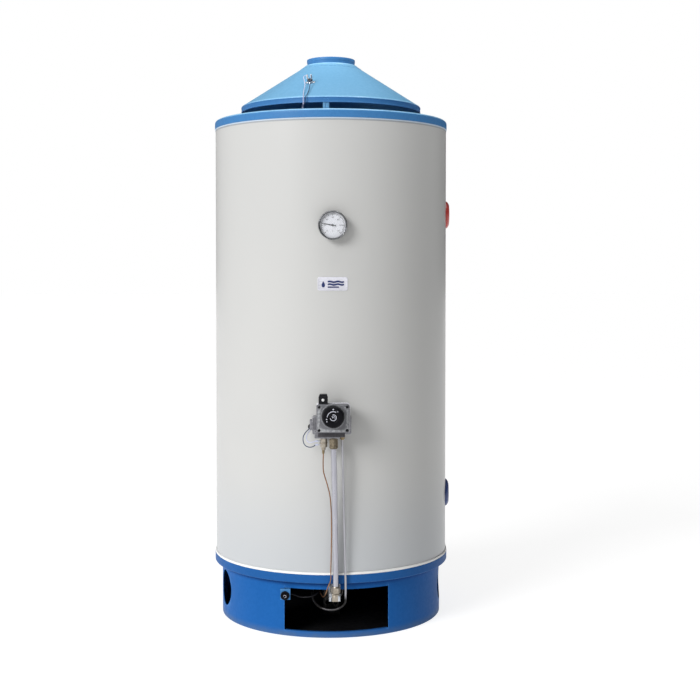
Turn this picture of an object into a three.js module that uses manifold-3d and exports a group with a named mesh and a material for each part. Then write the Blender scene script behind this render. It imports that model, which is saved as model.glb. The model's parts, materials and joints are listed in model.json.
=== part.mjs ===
// Gas storage water heater: a glazed steel tank with a central flue, an atmospheric burner in the
// base, a draft hood on top, and a combined gas valve and thermostat on the front.
// Millimetres, +Z up, front towards -Y. The origin is the centre of the base on the floor.
// Azimuths are degrees from the front (-Y) towards +X.
import * as THREE from 'three';
import { mergeVertices } from 'three/addons/utils/BufferGeometryUtils.js';
import Module from 'manifold-3d';

const wasm = await Module();
wasm.setup();

// ---------------------------------------------------------------- driving dimensions
const GAP = 0.3;              // clearance between pieces that touch
const N_BIG = 40;             // facets on the outer shells
const N_TANK = 20;            // facets on the pieces inside the shells
const HEIGHT = 1675;          // floor to flue collar rim
const R_JACKET = 350;         // jacket outside radius
const JACKET_T = 1.5;
const JACKET_Z0 = 161.8;
const JACKET_Z1 = 1474;
const R_SKIRT = 332;          // base skirt outside radius
const SKIRT_T = 2;
const SKIRT_TOP = 158.7;
const BURNER_OPENING = { from: -24.3, to: 28.8, z0: 17, z1: 137.5 };
const AIR_HOLES = [-72.55, 82.45];
const AIR_HOLE_R = 52;
const AIR_HOLE_Z = 88;
const R_RING = 354;           // bottom trim ring outside radius
const RING_Z0 = 159;
const RING_Z1 = 183;
const R_LID = 352;
const LID_Z0 = 1460;
const LID_TOP = 1485;
const R_HOOD = 272.5;         // draft hood rim outside radius
const HOOD_Z0 = 1511.7;
const HOOD_BAND_TOP = 1528;
const HOOD_TOP = 1657;
const R_COLLAR = 73;          // flue collar outside radius
const HOOD_LEGS = [-3.65, 116.35, -123.65];
const R_TANK = 300;           // tank outside radius
const TANK_T = 3;
const TANK_TOP = 1345;
const HEAD_RISE = 62;
const R_FLUE = 57.5;
const THERMO_Z = 1160;        // dial thermometer
const VALVE_Z = 631;          // thermostat probe axis
const KNOB_Z = 637.5;         // control knob axis
const PORT_AZ = 87.15;        // hot and cold connections
const HOT_Z = 1205;
const COLD_Z = 356;
const DRAIN_Z = 275;
const ANODE = { r: 200, az: 150 };
const WIRE_PORT = { az: -10, z: 599 };
const GROMMET = [-84, -277];

const rad = (deg) => (deg * Math.PI) / 180;
const at = (r, az, z) => [r * Math.sin(rad(az)), -r * Math.cos(rad(az)), z];

// ---------------------------------------------------------------- geometry helpers
// One closed indexed body: shared vertices merged, faces pointing out.
function closed(geometry) {
  const g = geometry.clone();
  for (const name of Object.keys(g.attributes)) if (name !== 'position') g.deleteAttribute(name);
  const merged = mergeVertices(g, 1e-4);
  const index = merged.index.array;
  const pos = merged.attributes.position.array;
  const keep = [];
  let volume = 0;
  for (let i = 0; i < index.length; i += 3) {
    const [a, b, c] = [index[i], index[i + 1], index[i + 2]];
    if (a === b || b === c || c === a) continue;
    keep.push(a, b, c);
    const [ax, ay, az] = [pos[3 * a], pos[3 * a + 1], pos[3 * a + 2]];
    const [bx, by, bz] = [pos[3 * b], pos[3 * b + 1], pos[3 * b + 2]];
    const [cx, cy, cz] = [pos[3 * c], pos[3 * c + 1], pos[3 * c + 2]];
    volume += ax * (by * cz - bz * cy) + ay * (bz * cx - bx * cz) + az * (bx * cy - by * cx);
  }
  if (volume < 0) for (let i = 0; i < keep.length; i += 3) [keep[i + 1], keep[i + 2]] = [keep[i + 2], keep[i + 1]];
  const out = new THREE.BufferGeometry();
  out.setAttribute('position', new THREE.BufferAttribute(new Float32Array(pos), 3));
  out.setIndex(keep);
  return out;
}

function solid(geometry) {
  return new wasm.Manifold(new wasm.Mesh({
    numProp: 3,
    vertProperties: new Float32Array(geometry.attributes.position.array),
    triVerts: new Uint32Array(geometry.index.array),
  }));
}

function surface(manifold) {
  const mesh = manifold.getMesh();
  const g = new THREE.BufferGeometry();
  g.setAttribute('position', new THREE.BufferAttribute(new Float32Array(mesh.vertProperties), 3));
  g.setIndex(Array.from(mesh.triVerts));
  return closed(g);
}

const cut = (body, ...tools) => surface(tools.reduce((m, t) => m.subtract(solid(t)), solid(body)));
const join = (...bodies) => surface(bodies.map(solid).reduce((a, b) => a.add(b)));
const common = (a, b) => surface(solid(a).intersect(solid(b)));

// Profile of [radius, z] pairs turned about the Z axis.
function lathe(profile, n) {
  const pts = profile.map(([r, z]) => new THREE.Vector2(r, z));
  const [first, last] = [profile[0], profile[profile.length - 1]];
  if (first[0] !== 0 || last[0] !== 0) pts.push(pts[0].clone());
  return closed(new THREE.LatheGeometry(pts, n).rotateX(Math.PI / 2));
}
const ring = (r0, r1, z0, z1, n) => lathe([[r0, z0], [r1, z0], [r1, z1], [r0, z1]], n);
const disc = (r, z0, z1, n) => lathe([[0, z0], [r, z0], [r, z1], [0, z1]], n);

// Round or hexagonal bar between two points.
function bar(a, b, r, n = 16, turn = 0) {
  const va = new THREE.Vector3(...a);
  const vb = new THREE.Vector3(...b);
  const dir = vb.clone().sub(va);
  const g = new THREE.CylinderGeometry(r, r, dir.length(), n, 1);
  g.rotateY(turn);
  g.applyQuaternion(new THREE.Quaternion().setFromUnitVectors(new THREE.Vector3(0, 1, 0), dir.clone().normalize()));
  g.translate(...va.add(vb).multiplyScalar(0.5).toArray());
  return closed(g);
}
function box(x0, x1, y0, y1, z0, z1) {
  return closed(new THREE.BoxGeometry(x1 - x0, y1 - y0, z1 - z0).translate((x0 + x1) / 2, (y0 + y1) / 2, (z0 + z1) / 2));
}
// Profile of [distance, radius] pairs turned about the front-back axis through (x, z): distance is y.
function latheY(profile, x, z, n) {
  const g = lathe(profile.map(([y, r]) => [r, y]), n);
  g.rotateX(-Math.PI / 2);        // +Z of the lathe becomes +Y
  return closed(g.translate(x, 0, z));
}
// Rounded rectangle in X and Z, extruded from y0 to y1.
function slab(x0, x1, z0, z1, y0, y1, r = 0, seg = 3) {
  const s = new THREE.Shape();
  if (r > 0) {
    s.moveTo(x0 + r, z0);
    s.lineTo(x1 - r, z0); s.absarc(x1 - r, z0 + r, r, -Math.PI / 2, 0, false);
    s.lineTo(x1, z1 - r); s.absarc(x1 - r, z1 - r, r, 0, Math.PI / 2, false);
    s.lineTo(x0 + r, z1); s.absarc(x0 + r, z1 - r, r, Math.PI / 2, Math.PI, false);
    s.lineTo(x0, z0 + r); s.absarc(x0 + r, z0 + r, r, Math.PI, 1.5 * Math.PI, false);
  } else {
    s.moveTo(x0, z0); s.lineTo(x1, z0); s.lineTo(x1, z1); s.lineTo(x0, z1);
  }
  return extrudeY(s, y0, y1, seg);
}
function extrudeY(shape, y0, y1, seg = 3) {
  const g = new THREE.ExtrudeGeometry(shape, { depth: y1 - y0, bevelEnabled: false, curveSegments: seg });
  g.rotateX(Math.PI / 2);         // shape (x, z) keeps its z, depth runs towards -Y
  return closed(g.translate(0, y1, 0));
}
// Prism between two azimuths, for cutting an opening through a round wall.
function wedge(r0, r1, az0, az1, z0, z1) {
  const s = new THREE.Shape([[r0, az0], [r1, az0], [r1, az1], [r0, az1]].map(([r, az]) => {
    const [x, y] = at(r, az, 0);
    return new THREE.Vector2(x, y);
  }));
  return closed(new THREE.ExtrudeGeometry(s, { depth: z1 - z0, bevelEnabled: false }).translate(0, 0, z0));
}
// Tube along a smooth curve through the points; bore > 0 makes it hollow.
function tube(points, r, { sides = 8, steps = 24, bore = 0 } = {}) {
  const poly = (radius) => Array.from({ length: sides }, (_, i) =>
    new THREE.Vector2(radius * Math.cos((2 * Math.PI * i) / sides), radius * Math.sin((2 * Math.PI * i) / sides)));
  const s = new THREE.Shape(poly(r));
  if (bore > 0) s.holes.push(new THREE.Path(poly(bore)));
  const path = new THREE.CatmullRomCurve3(points.map((p) => new THREE.Vector3(...p)));
  return closed(new THREE.ExtrudeGeometry(s, { extrudePath: path, steps, bevelEnabled: false }));
}
const radialBar = (r0, r1, az, z, r, n = 12) => bar(at(r0, az, z), at(r1, az, z), r, n);

// ---------------------------------------------------------------- scene graph
const heater = new THREE.Group();
function group(parent, x = 0, y = 0, z = 0) {
  const g = new THREE.Group();
  g.position.set(x, y, z);
  parent.add(g);
  return g;
}
const casing = group(heater);
const tank = group(heater, 0, 0, JACKET_Z0);
const hood = group(heater, 0, 0, HOOD_Z0);
const thermometer = group(heater, 0, -R_JACKET, THERMO_Z);
const valve = group(heater, 0, -400, VALVE_Z);
const base = group(heater, 0, 0, 100);
const side = group(heater, 0, 0, 0);

// Adds a named mesh: the geometry is in the heater's frame, and the mesh sits at pivot.
function add(parent, name, geometry, color, roughness, metalness, pivot = [0, 0, 0]) {
  const material = new THREE.MeshStandardMaterial({ color, roughness, metalness, flatShading: true });
  const g = geometry.clone().translate(-pivot[0], -pivot[1], -pivot[2]);
  const mesh = new THREE.Mesh(g, material);
  mesh.name = name;
  mesh.position.set(pivot[0] - parent.position.x, pivot[1] - parent.position.y, pivot[2] - parent.position.z);
  parent.add(mesh);
  return mesh;
}
const BLUE = 0x2e6fb4;
const BLUE_SKIRT = 0x2563ab;
const HOOD_BLUE = 0x86bfe3;
const WHITE = 0xdcdcda;
const STEEL = 0x8b8d90;
const BRASS = 0xb0905c;
const ALUMINIUM = 0xd2d3d6;
const BLACK = 0x16171a;
const COPPER = 0xb07a52;

// ---------------------------------------------------------------- base: floor plate, skirt, ring
add(base, 'floor_plate', disc(319.5, 0, 2, N_TANK), 0x35383c, 0.7, 0.4, [0, 0, 0]);

const skirtShell = lathe([
  [320, 0], [R_SKIRT, 0], [R_SKIRT, SKIRT_TOP], [R_SKIRT - SKIRT_T, SKIRT_TOP],
  [R_SKIRT - SKIRT_T, 2], [320, 2],
], N_BIG);
add(base, 'base_skirt', cut(skirtShell,
  wedge(250, 400, BURNER_OPENING.from, BURNER_OPENING.to, BURNER_OPENING.z0, BURNER_OPENING.z1),
  ...AIR_HOLES.map((az) => radialBar(290, 360, az, AIR_HOLE_Z, AIR_HOLE_R, 20)),
), BLUE_SKIRT, 0.4, 0, [0, 0, 2]);

add(casing, 'bottom_trim_ring', lathe([
  [292, RING_Z0], [R_RING, RING_Z0], [R_RING, RING_Z1], [R_RING - 3.5, RING_Z1],
  [R_RING - 3.5, RING_Z0 + 2.5], [292, RING_Z0 + 2.5],
], N_BIG), BLUE, 0.38, 0, [0, 0, RING_Z0]);
add(casing, 'bottom_seal', ring(R_JACKET + GAP, R_RING - 0.5, RING_Z1 + GAP, 190, N_BIG), 0xf4f4f2, 0.6, 0, [0, 0, RING_Z1]);

// ---------------------------------------------------------------- jacket and lid
const anodePos = at(ANODE.r, ANODE.az, 0);
add(casing, 'jacket', cut(
  ring(R_JACKET - JACKET_T, R_JACKET, JACKET_Z0, JACKET_Z1, N_BIG),
  radialBar(330, 370, 0, THERMO_Z, 15),
  radialBar(330, 370, 0, VALVE_Z, 19),
  radialBar(330, 370, WIRE_PORT.az, WIRE_PORT.z, 6, 10),
  radialBar(330, 370, PORT_AZ, HOT_Z, 22),
  radialBar(330, 370, PORT_AZ, COLD_Z, 22),
  radialBar(330, 370, 180, DRAIN_Z, 16),
), WHITE, 0.28, 0, [0, 0, JACKET_Z0]);
add(casing, 'top_seal', ring(R_JACKET + GAP, R_JACKET + 1.5, 1456, 1459.7, N_BIG), 0xf4f4f2, 0.6, 0, [0, 0, 1456]);

add(casing, 'top_lid', cut(lathe([
  [R_LID, LID_Z0], [R_LID, 1477], [349.6, 1482.6], [344, LID_TOP], [58.5, LID_TOP], [58.5, LID_TOP - 2],
  [343, LID_TOP - 2], [348, 1480.8], [R_JACKET + GAP, 1476], [R_JACKET + GAP, LID_Z0],
], N_BIG),
bar([anodePos[0], anodePos[1], 1470], [anodePos[0], anodePos[1], 1500], 15),
bar([...GROMMET, 1470], [...GROMMET, 1500], 6, 10),
), BLUE, 0.36, 0, [0, 0, LID_Z0]);

// ---------------------------------------------------------------- draft hood
const coneSlope = (HOOD_TOP - HOOD_BAND_TOP) / (R_HOOD - (R_COLLAR + 0.2));
const hoodZ = (r) => HOOD_BAND_TOP + (R_HOOD - r) * coneSlope;      // outer cone surface
const wallDrop = 2 * Math.hypot(1, coneSlope);
const coneShell = lathe([
  [R_HOOD, HOOD_Z0], [R_HOOD, HOOD_BAND_TOP], [R_COLLAR + 0.2, HOOD_TOP],
  [R_COLLAR + 0.2 - wallDrop / coneSlope, HOOD_TOP], [R_HOOD - 2, hoodZ(R_HOOD - 2) - wallDrop], [R_HOOD - 2, HOOD_Z0],
], N_BIG);
const legs = HOOD_LEGS.map((az) => join(
  box(-9, 9, -(R_HOOD - 1.6), -(R_HOOD - 4), LID_TOP + GAP, 1524),
  box(-9, 9, -(R_HOOD - 2.5), -(R_HOOD - 22), LID_TOP + GAP, LID_TOP + GAP + 2),
).rotateZ(rad(az)));
add(hood, 'hood_cone', join(coneShell, ...legs), HOOD_BLUE, 0.34, 0, [0, 0, HOOD_Z0]);
add(hood, 'flue_collar', ring(R_COLLAR - 2, R_COLLAR, HOOD_TOP + GAP, HEIGHT, N_TANK), BLUE, 0.38, 0, [0, 0, HOOD_TOP + GAP]);

// Spill thermostat, square to the cone.
const spill = { az: -18.8, r: 192 };
const coneNormal = new THREE.Vector3(0, -coneSlope, 1).normalize();
function onCone(geometry) {
  // Local frame: X along the rim, Z out of the cone, origin on the cone.
  const tilt = Math.atan2(-coneNormal.y, coneNormal.z);
  return closed(geometry.clone().rotateX(tilt).translate(0, -spill.r, hoodZ(spill.r)).rotateZ(rad(spill.az)));
}
const spillTop = 11.3;
add(hood, 'spill_thermostat', onCone(join(
  box(-14.5, 14.5, -5.5, 5.5, 0.4, 1.6),
  bar([0, 0, 1.2], [0, 0, spillTop], 8.5, 16),
  box(-6.3, -5.5, -2.6, 2.6, spillTop - 1, spillTop + 6),
  box(5.5, 6.3, -2.6, 2.6, spillTop - 1, spillTop + 6),
)), 0x3f4652, 0.4, 0.2);

// ---------------------------------------------------------------- tank, flue, insulation
const headZ = (r, rim, rise, z) => z + rise * Math.sqrt(Math.max(0, 1 - (r / rim) ** 2));
function dome(rim, rise, z0, hole, t, steps) {
  const arc = (R, h, rEnd) => {
    const end = Math.acos(rEnd / R);
    return Array.from({ length: steps + 1 }, (_, i) => {
      const a = (end * i) / steps;
      return [R * Math.cos(a), z0 + h * Math.sin(a)];
    });
  };
  return [...arc(rim, rise, hole), ...arc(rim - t, rise - t, hole).reverse()];
}
add(tank, 'tank_shell', cut(
  ring(R_TANK - TANK_T, R_TANK, JACKET_Z0, TANK_TOP, N_TANK),
  radialBar(280, 320, 0, THERMO_Z, 9.4),
  radialBar(280, 320, 0, VALVE_Z, 13.2),
  radialBar(280, 320, PORT_AZ, HOT_Z, 21.1),
  radialBar(280, 320, PORT_AZ, COLD_Z, 21.1),
  radialBar(280, 320, 180, DRAIN_Z, 12.5),
), 0x4a6a86, 0.5, 0.3, [0, 0, JACKET_Z0]);
add(tank, 'tank_top_head', cut(
  lathe(dome(R_TANK, HEAD_RISE, TANK_TOP + GAP, R_FLUE + 0.7, TANK_T, 5), N_TANK),
  bar([anodePos[0], anodePos[1], 1360], [anodePos[0], anodePos[1], 1420], 13.4),
), 0x4a6a86, 0.5, 0.3, [0, 0, TANK_TOP]);
add(tank, 'tank_bottom_head', lathe(dome(R_TANK - TANK_T - GAP, 50, 252, R_FLUE + 0.5, TANK_T, 4), N_TANK),
  0x4a6a86, 0.5, 0.3, [0, 0, 252]);
add(tank, 'flue_tube', ring(R_FLUE - 3, R_FLUE, 292, 1500, N_TANK), 0x5c5f63, 0.6, 0.5, [0, 0, 292]);

// Baffle: a folded strip hung in the flue on a cross pin.
const fold = [[0, 1503], [30, 1480.5]];
for (let k = 1; k <= 23; k += 1) fold.push([k % 2 ? -30 : 30, 1480.5 - 45 * k]);
const strip = new THREE.Shape([
  ...fold.map(([y, z]) => new THREE.Vector2(y - 1.65, z)),
  ...fold.map(([y, z]) => new THREE.Vector2(y + 1.65, z)).reverse(),
]);
// Shape is drawn in (y, z) and extruded 70 mm along X.
const stripSolid = closed(new THREE.ExtrudeGeometry(strip, { depth: 70, bevelEnabled: false })
  .translate(0, 0, -35).rotateY(Math.PI / 2).rotateX(Math.PI / 2));
add(tank, 'flue_baffle', join(stripSolid, bar([-62.5, 0, 1503.2], [62.5, 0, 1503.2], 2.5, 8)),
  0x7d7a76, 0.7, 0.6, [0, 0, 1503]);

const insulationProfile = (() => {
  const head = dome(R_TANK + 0.6, HEAD_RISE + 0.6, TANK_TOP + GAP, R_FLUE + 1.4, 1, 5).slice(0, 6);
  return [
    [R_TANK + 0.6, JACKET_Z0 + 0.1], [348, JACKET_Z0 + 0.1], [348, 1474], [342, 1480], [R_FLUE + 1.4, 1482.5],
    ...head.reverse(),
  ];
})();
add(tank, 'insulation', cut(
  lathe(insulationProfile, N_TANK),
  radialBar(280, 370, 0, THERMO_Z, 10.5),
  radialBar(280, 370, 0, VALVE_Z, 18),
  radialBar(332, 370, WIRE_PORT.az, WIRE_PORT.z, 5, 8),
  radialBar(280, 370, PORT_AZ, HOT_Z, 22),
  radialBar(280, 370, PORT_AZ, COLD_Z, 22),
  radialBar(280, 370, 180, DRAIN_Z, 14),
  bar([anodePos[0], anodePos[1], 1340], [anodePos[0], anodePos[1], 1500], 15),
  bar([...GROMMET, 1450], [...GROMMET, 1500], 5, 8),
), 0xd9cf9a, 0.95, 0, [0, 0, JACKET_Z0]);

// ---------------------------------------------------------------- anode
add(tank, 'anode_plug', join(
  bar([anodePos[0], anodePos[1], 1383], [anodePos[0], anodePos[1], 1486], 13),
  bar([anodePos[0], anodePos[1], LID_TOP + GAP], [anodePos[0], anodePos[1], 1500], 18, 6),
), STEEL, 0.45, 0.7, [anodePos[0], anodePos[1], 1383]);
add(tank, 'anode_rod', bar([anodePos[0], anodePos[1], 640], [anodePos[0], anodePos[1], 1383 - GAP], 11, 12),
  0xa9abad, 0.6, 0.6, [anodePos[0], anodePos[1], 1000]);

// ---------------------------------------------------------------- water connections and drain
const bodyOfJacket = disc(R_JACKET + GAP, 300, 1300, N_BIG);
for (const [name, z, color] of [['hot', HOT_Z, 0xb9433f], ['cold', COLD_Z, 0x22356f]]) {
  add(side, name === 'hot' ? 'hot_outlet_socket' : 'cold_inlet_socket', cut(
    radialBar(298, 358, PORT_AZ, z, 20.5),
    radialBar(290, 365, PORT_AZ, z, 15.2),
  ), BRASS, 0.4, 0.8, at(340, PORT_AZ, z));
  // Rosette: domed ring, its back scooped to the jacket's curve.
  const dome3 = lathe([
    [21, 344], [41, 344], [41, 352], [36.5, 357.4], [28, 360], [21, 360],
  ], 20);
  dome3.rotateX(Math.PI / 2).rotateZ(rad(PORT_AZ)).translate(0, 0, z);
  add(side, `${name}_rosette`, cut(closed(dome3), bodyOfJacket), color, 0.45, 0, at(352, PORT_AZ, z));
}

const drainBody = join(
  bar([0, 297.5, DRAIN_Z], [0, 352, DRAIN_Z], 12, 12),
  bar([0, R_JACKET + 1, DRAIN_Z], [0, 361, DRAIN_Z], 17, 6),
  bar([0, 360, DRAIN_Z], [0, 390, DRAIN_Z], 12.5, 12),
  bar([0, 376, DRAIN_Z], [0, 376, DRAIN_Z - 34], 10, 12),
);
add(side, 'drain_cock_body', cut(drainBody,
  bar([0, 290, DRAIN_Z], [0, 380, DRAIN_Z], 6, 10),
  bar([0, 376, DRAIN_Z + 3], [0, 376, DRAIN_Z - 40], 6, 10),
), BRASS, 0.4, 0.8, [0, 352, DRAIN_Z]);
add(side, 'drain_handle', join(
  bar([0, 390.4, DRAIN_Z], [0, 399, DRAIN_Z], 9, 12),
  box(-6, 6, 392, 397, DRAIN_Z, DRAIN_Z + 46),
  bar([0, 392, DRAIN_Z + 46], [0, 397, DRAIN_Z + 46], 8, 12),
), 0xa53a34, 0.5, 0, [0, 394, DRAIN_Z]);

// ---------------------------------------------------------------- dial thermometer
const yT = -R_JACKET;
add(thermometer, 'thermometer_pocket', join(
  bar([0, -290, THERMO_Z], [0, -351.6, THERMO_Z], 9, 12),
  bar([0, -200, THERMO_Z], [0, -292, THERMO_Z], 4.5, 8),
), BRASS, 0.4, 0.8, [0, -300, THERMO_Z]);
add(thermometer, 'thermometer_case', latheY([
  [yT - 2.2, 0], [yT - 2.2, 39.5], [yT - 21, 39.5], [yT - 21, 38], [yT - 4, 38], [yT - 4, 0],
], 0, THERMO_Z, 24), 0x1d1e21, 0.35, 0, [0, yT, THERMO_Z]);
add(thermometer, 'thermometer_bezel', latheY([
  [yT - 21.3, 35.5], [yT - 21.3, 40.5], [yT - 24.5, 40.5], [yT - 25.5, 39.5], [yT - 25.5, 36.5], [yT - 23.5, 35.5],
], 0, THERMO_Z, 24), 0x1d1e21, 0.3, 0, [0, yT - 21, THERMO_Z]);
add(thermometer, 'thermometer_dial', latheY([
  [yT - 13.5, 0], [yT - 13.5, 37.6], [yT - 14.5, 37.6], [yT - 14.5, 0],
], 0, THERMO_Z, 24), 0xf2f2f0, 0.5, 0, [0, yT - 13.5, THERMO_Z]);
add(thermometer, 'thermometer_glass', latheY([
  [yT - 18.5, 0], [yT - 18.5, 37.6], [yT - 20.5, 37.6], [yT - 20.5, 0],
], 0, THERMO_Z, 24), 0xe8eef0, 0.05, 0, [0, yT - 18, THERMO_Z]);
const needleTurn = rad(180 - 10);
const needle = join(
  slab(-9, 27, -0.9, 0.9, yT - 17.2, yT - 16.4),
  bar([0, yT - 18, 0], [0, yT - 15, 0], 3.2, 12),
);
needle.rotateY(-needleTurn).translate(0, 0, THERMO_Z);
add(thermometer, 'thermometer_needle', closed(needle), BLACK, 0.5, 0, [0, yT - 17, THERMO_Z]);

add(casing, 'badge_plate', common(
  ring(R_JACKET + GAP, R_JACKET + 1.6, 979, 1017, N_BIG),
  box(-42, 42, -360, -300, 970, 1030),
), 0x3a6ea8, 0.35, 0.1, [0, -R_JACKET, 998]);

// ---------------------------------------------------------------- thermostat probe and gas valve
add(valve, 'thermostat_probe', join(
  bar([0, -80, VALVE_Z], [0, -298, VALVE_Z], 5.5, 8),
  bar([0, -296, VALVE_Z], [0, -368, VALVE_Z], 12.8, 12),
  bar([0, -356, VALVE_Z], [0, -364, VALVE_Z], 17, 6),
), COPPER, 0.4, 0.7, [0, -300, VALVE_Z]);

const valveBody = cut(join(
  slab(-57, 51, 584, 634, -400, -368.3, 4, 1),
  slab(-51, 18.7, 573, 596, -402, -372, 2, 1),
  slab(-42, 42, 592, 668, -404.7, -372, 5, 1),
  bar([-50, -386, 610], [-64, -386, 610], 15, 16),
  bar([-48, -399, 593.4], [-48, -404, 593.4], 5, 12),
),
bar([-66, -386, 610], [-50, -386, 610], 10.5, 16),
bar([0, -410, KNOB_Z], [0, -388, KNOB_Z], 6, 16),
);
add(valve, 'valve_body', valveBody, 0x8d8f90, 0.45, 0.6, [0, -400, 620]);

add(valve, 'valve_cover', cut(
  slab(-45.5, 45.5, 592, 670.5, -434, -405, 8, 3),
  slab(-43, 43, 594.5, 668, -431.5, -400, 6, 2),
  bar([0, -440, KNOB_Z], [0, -425, KNOB_Z], 6, 16),
), 0x8f9192, 0.4, 0.3, [0, -405, KNOB_Z]);

add(valve, 'knob_spindle', bar([0, -397, KNOB_Z], [0, -452, KNOB_Z], 5, 16), STEEL, 0.4, 0.8, [0, -425, KNOB_Z]);
const knobRibs = Array.from({ length: 60 }, (_, i) => {
  const a = (2 * Math.PI * i) / 60;
  const r = i % 3 < 2 ? 30 : 28.9;
  return new THREE.Vector2(r * Math.cos(a), r * Math.sin(a));
});
add(valve, 'control_knob', cut(
  join(
    extrudeY(new THREE.Shape(knobRibs), -456, -440).translate(0, 0, KNOB_Z),
    latheY([[-450, 0], [-450, 28.4], [-459.5, 28.4], [-462, 26], [-462, 0]], 0, KNOB_Z, 24),
  ),
  bar([0, -455, KNOB_Z], [0, -430, KNOB_Z], 5.3, 16),
), BLACK, 0.4, 0, [0, -440, KNOB_Z]);

const capShape = new THREE.Shape([
  [-39.5, 670.8], [-14.2, 670.8], [-14.2, 690], [-16.8, 697], [-35.5, 697], [-39.5, 690],
].map(([x, z]) => new THREE.Vector2(x, z)));
add(valve, 'limiter_housing', cut(
  extrudeY(capShape, -425, -400),
  bar([-27.4, -430, 681.5], [-27.4, -410.5, 681.5], 4.2, 12),
), BLACK, 0.45, 0, [-27, -412, 671]);
add(valve, 'reset_button', bar([-27.4, -428, 681.5], [-27.4, -413.5, 681.5], 3.9, 12), 0xdedede, 0.4, 0, [-27.4, -420, 681.5]);

// ---------------------------------------------------------------- fittings and tubes under the valve
add(valve, 'thermocouple_block', join(
  bar([-26, -388, 548], [-26, -388, 572.7], 10.4, 6),
  bar([-26, -388, 540], [-26, -388, 549], 6, 12),
  box(-46, -32, -391, -390, 553, 557),
  box(-46, -32, -391, -390, 563, 567),
), BRASS, 0.4, 0.8, [-26, -388, 560]);
add(valve, 'gas_outlet_nut', cut(
  bar([2, -393, 546], [2, -393, 572.7], 13.5, 6),
  bar([2, -393, 540], [2, -393, 580], 8.3, 12),
), BRASS, 0.4, 0.8, [2, -393, 560]);
add(valve, 'pilot_nut', cut(
  bar([26, -385, 570], [26, -385, 583.7], 7, 6),
  bar([26, -385, 560], [26, -385, 590], 3.6, 10),
), BRASS, 0.4, 0.8, [26, -385, 577]);

const MANIFOLD_Z = 125;
const GAS_PATH = [[2, -393, 571], [2, -393, 540], [3.5, -388, 480], [6, -376, 330], [8, -367, 210], [8, -365, 172],
  [8, -365, 150], [8, -365, MANIFOLD_Z + 12]];
add(base, 'gas_tube', tube(GAS_PATH, 7.5, { sides: 12, steps: 11, bore: 6.3 }), ALUMINIUM, 0.3, 0.8, [8, -365, 300]);
add(base, 'manifold_nut', cut(
  bar([8, -365, MANIFOLD_Z + 11], [8, -365, MANIFOLD_Z + 27], 13.5, 6),
  bar([8, -365, MANIFOLD_Z + 3], [8, -365, MANIFOLD_Z + 33], 8.3, 12),
), BRASS, 0.4, 0.8, [8, -365, MANIFOLD_Z + 19]);
add(base, 'manifold_elbow', cut(join(
  box(-3, 19, -376, -354, MANIFOLD_Z - 11, MANIFOLD_Z + 10.7),
  bar([8, -356, MANIFOLD_Z], [8, -328, MANIFOLD_Z], 9, 12),
),
bar([8, -365, MANIFOLD_Z + 18], [8, -365, MANIFOLD_Z], 5, 10),
bar([8, -366, MANIFOLD_Z], [8, -320, MANIFOLD_Z], 5, 10),
), BRASS, 0.42, 0.8, [8, -365, MANIFOLD_Z]);
add(base, 'gas_injector', cut(join(
  bar([8, -327.7, MANIFOLD_Z], [8, -318, MANIFOLD_Z], 8, 6),
  bar([8, -320, MANIFOLD_Z], [8, -305, MANIFOLD_Z], 4.5, 10),
), bar([8, -330, MANIFOLD_Z], [8, -300, MANIFOLD_Z], 1.2, 8)), BRASS, 0.4, 0.8, [8, -320, MANIFOLD_Z]);
add(base, 'manifold_bracket', cut(join(
  box(-11, 21, -334, -332.4, 114, 157),
  box(-11, -9.4, -350, -333, 114, 157),
  box(-11, -9.4, -372, -333, 114, 134),
  box(19.4, 21, -350, -333, 114, 157),
  box(19.4, 21, -372, -333, 114, 134),
), bar([8, -340, MANIFOLD_Z], [8, -325, MANIFOLD_Z], 9.8, 12)), 0xc6c9cc, 0.35, 0.7, [5, -333, 135]);

const PILOT_PATH = [[26, -385, 582], [26, -385, 560], [27, -383, 520], [31, -372, 350], [35, -361, 190], [35.5, -359, 130],
  [34, -352, 105], [18, -345, 88], [-5, -340, 82], [-35, -325, 86], [-55, -290, 100], [-52, -200, 125],
  [-47, -145, 134], [-45.3, -128, 146], [-45, -126, 155], [-45, -126, 164.6]];
add(base, 'pilot_tube', tube(PILOT_PATH, 3, { sides: 6, steps: 36 }), ALUMINIUM, 0.3, 0.8, [35, -359, 130]);

const LEAD_PATH = [[-26, -388, 539.7], [-27, -386, 500], [-26, -384, 480], [-15, -378, 440], [-8, -373, 410],
  [-3.5, -368, 330], [-5.5, -362, 200], [-6, -360, 170], [-14, -358, 150], [-20, -345, 128], [-28, -310, 112],
  [-45, -220, 130], [-60, -140, 150], [-60, -126, 173]];
add(base, 'thermocouple_lead', join(
  tube(LEAD_PATH, 1.6, { sides: 6, steps: 36 }),
  bar([-60, -126, 172], [-60, -126, 205], 3, 8),
), COPPER, 0.35, 0.8, [-20, -345, 128]);

// ---------------------------------------------------------------- burner
const VENTURI_PATH = [[8, -298, MANIFOLD_Z], [5, -200, 124], [0, -85, 121], [0, -22, 128], [0, 0, 150], [0, 0, 176]];
add(base, 'burner_venturi', join(
  tube(VENTURI_PATH, 22, { sides: 12, steps: 9, bore: 20 }),
  box(-25, 25, -101, -99, 2.3, 100.6),
), 0x4c4e50, 0.6, 0.5, [0, -100, 117]);
add(base, 'burner_head', lathe([
  [0, 176.4], [30, 176.4], [100, 181], [104, 189], [100, 197], [60, 203], [0, 205],
], N_TANK), 0x3c3d3f, 0.7, 0.5, [0, 0, 176]);
add(base, 'pilot_burner', cut(join(
  bar([-45, -126, 165], [-45, -126, 200], 5, 12),
  box(-68, -22, -134, -118, 177, 178.5),
),
bar([-60, -126, 170], [-60, -126, 185], 3.6, 12),
bar([-30, -126, 170], [-30, -126, 185], 3.8, 12),
), STEEL, 0.5, 0.7, [-45, -126, 178]);
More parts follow.
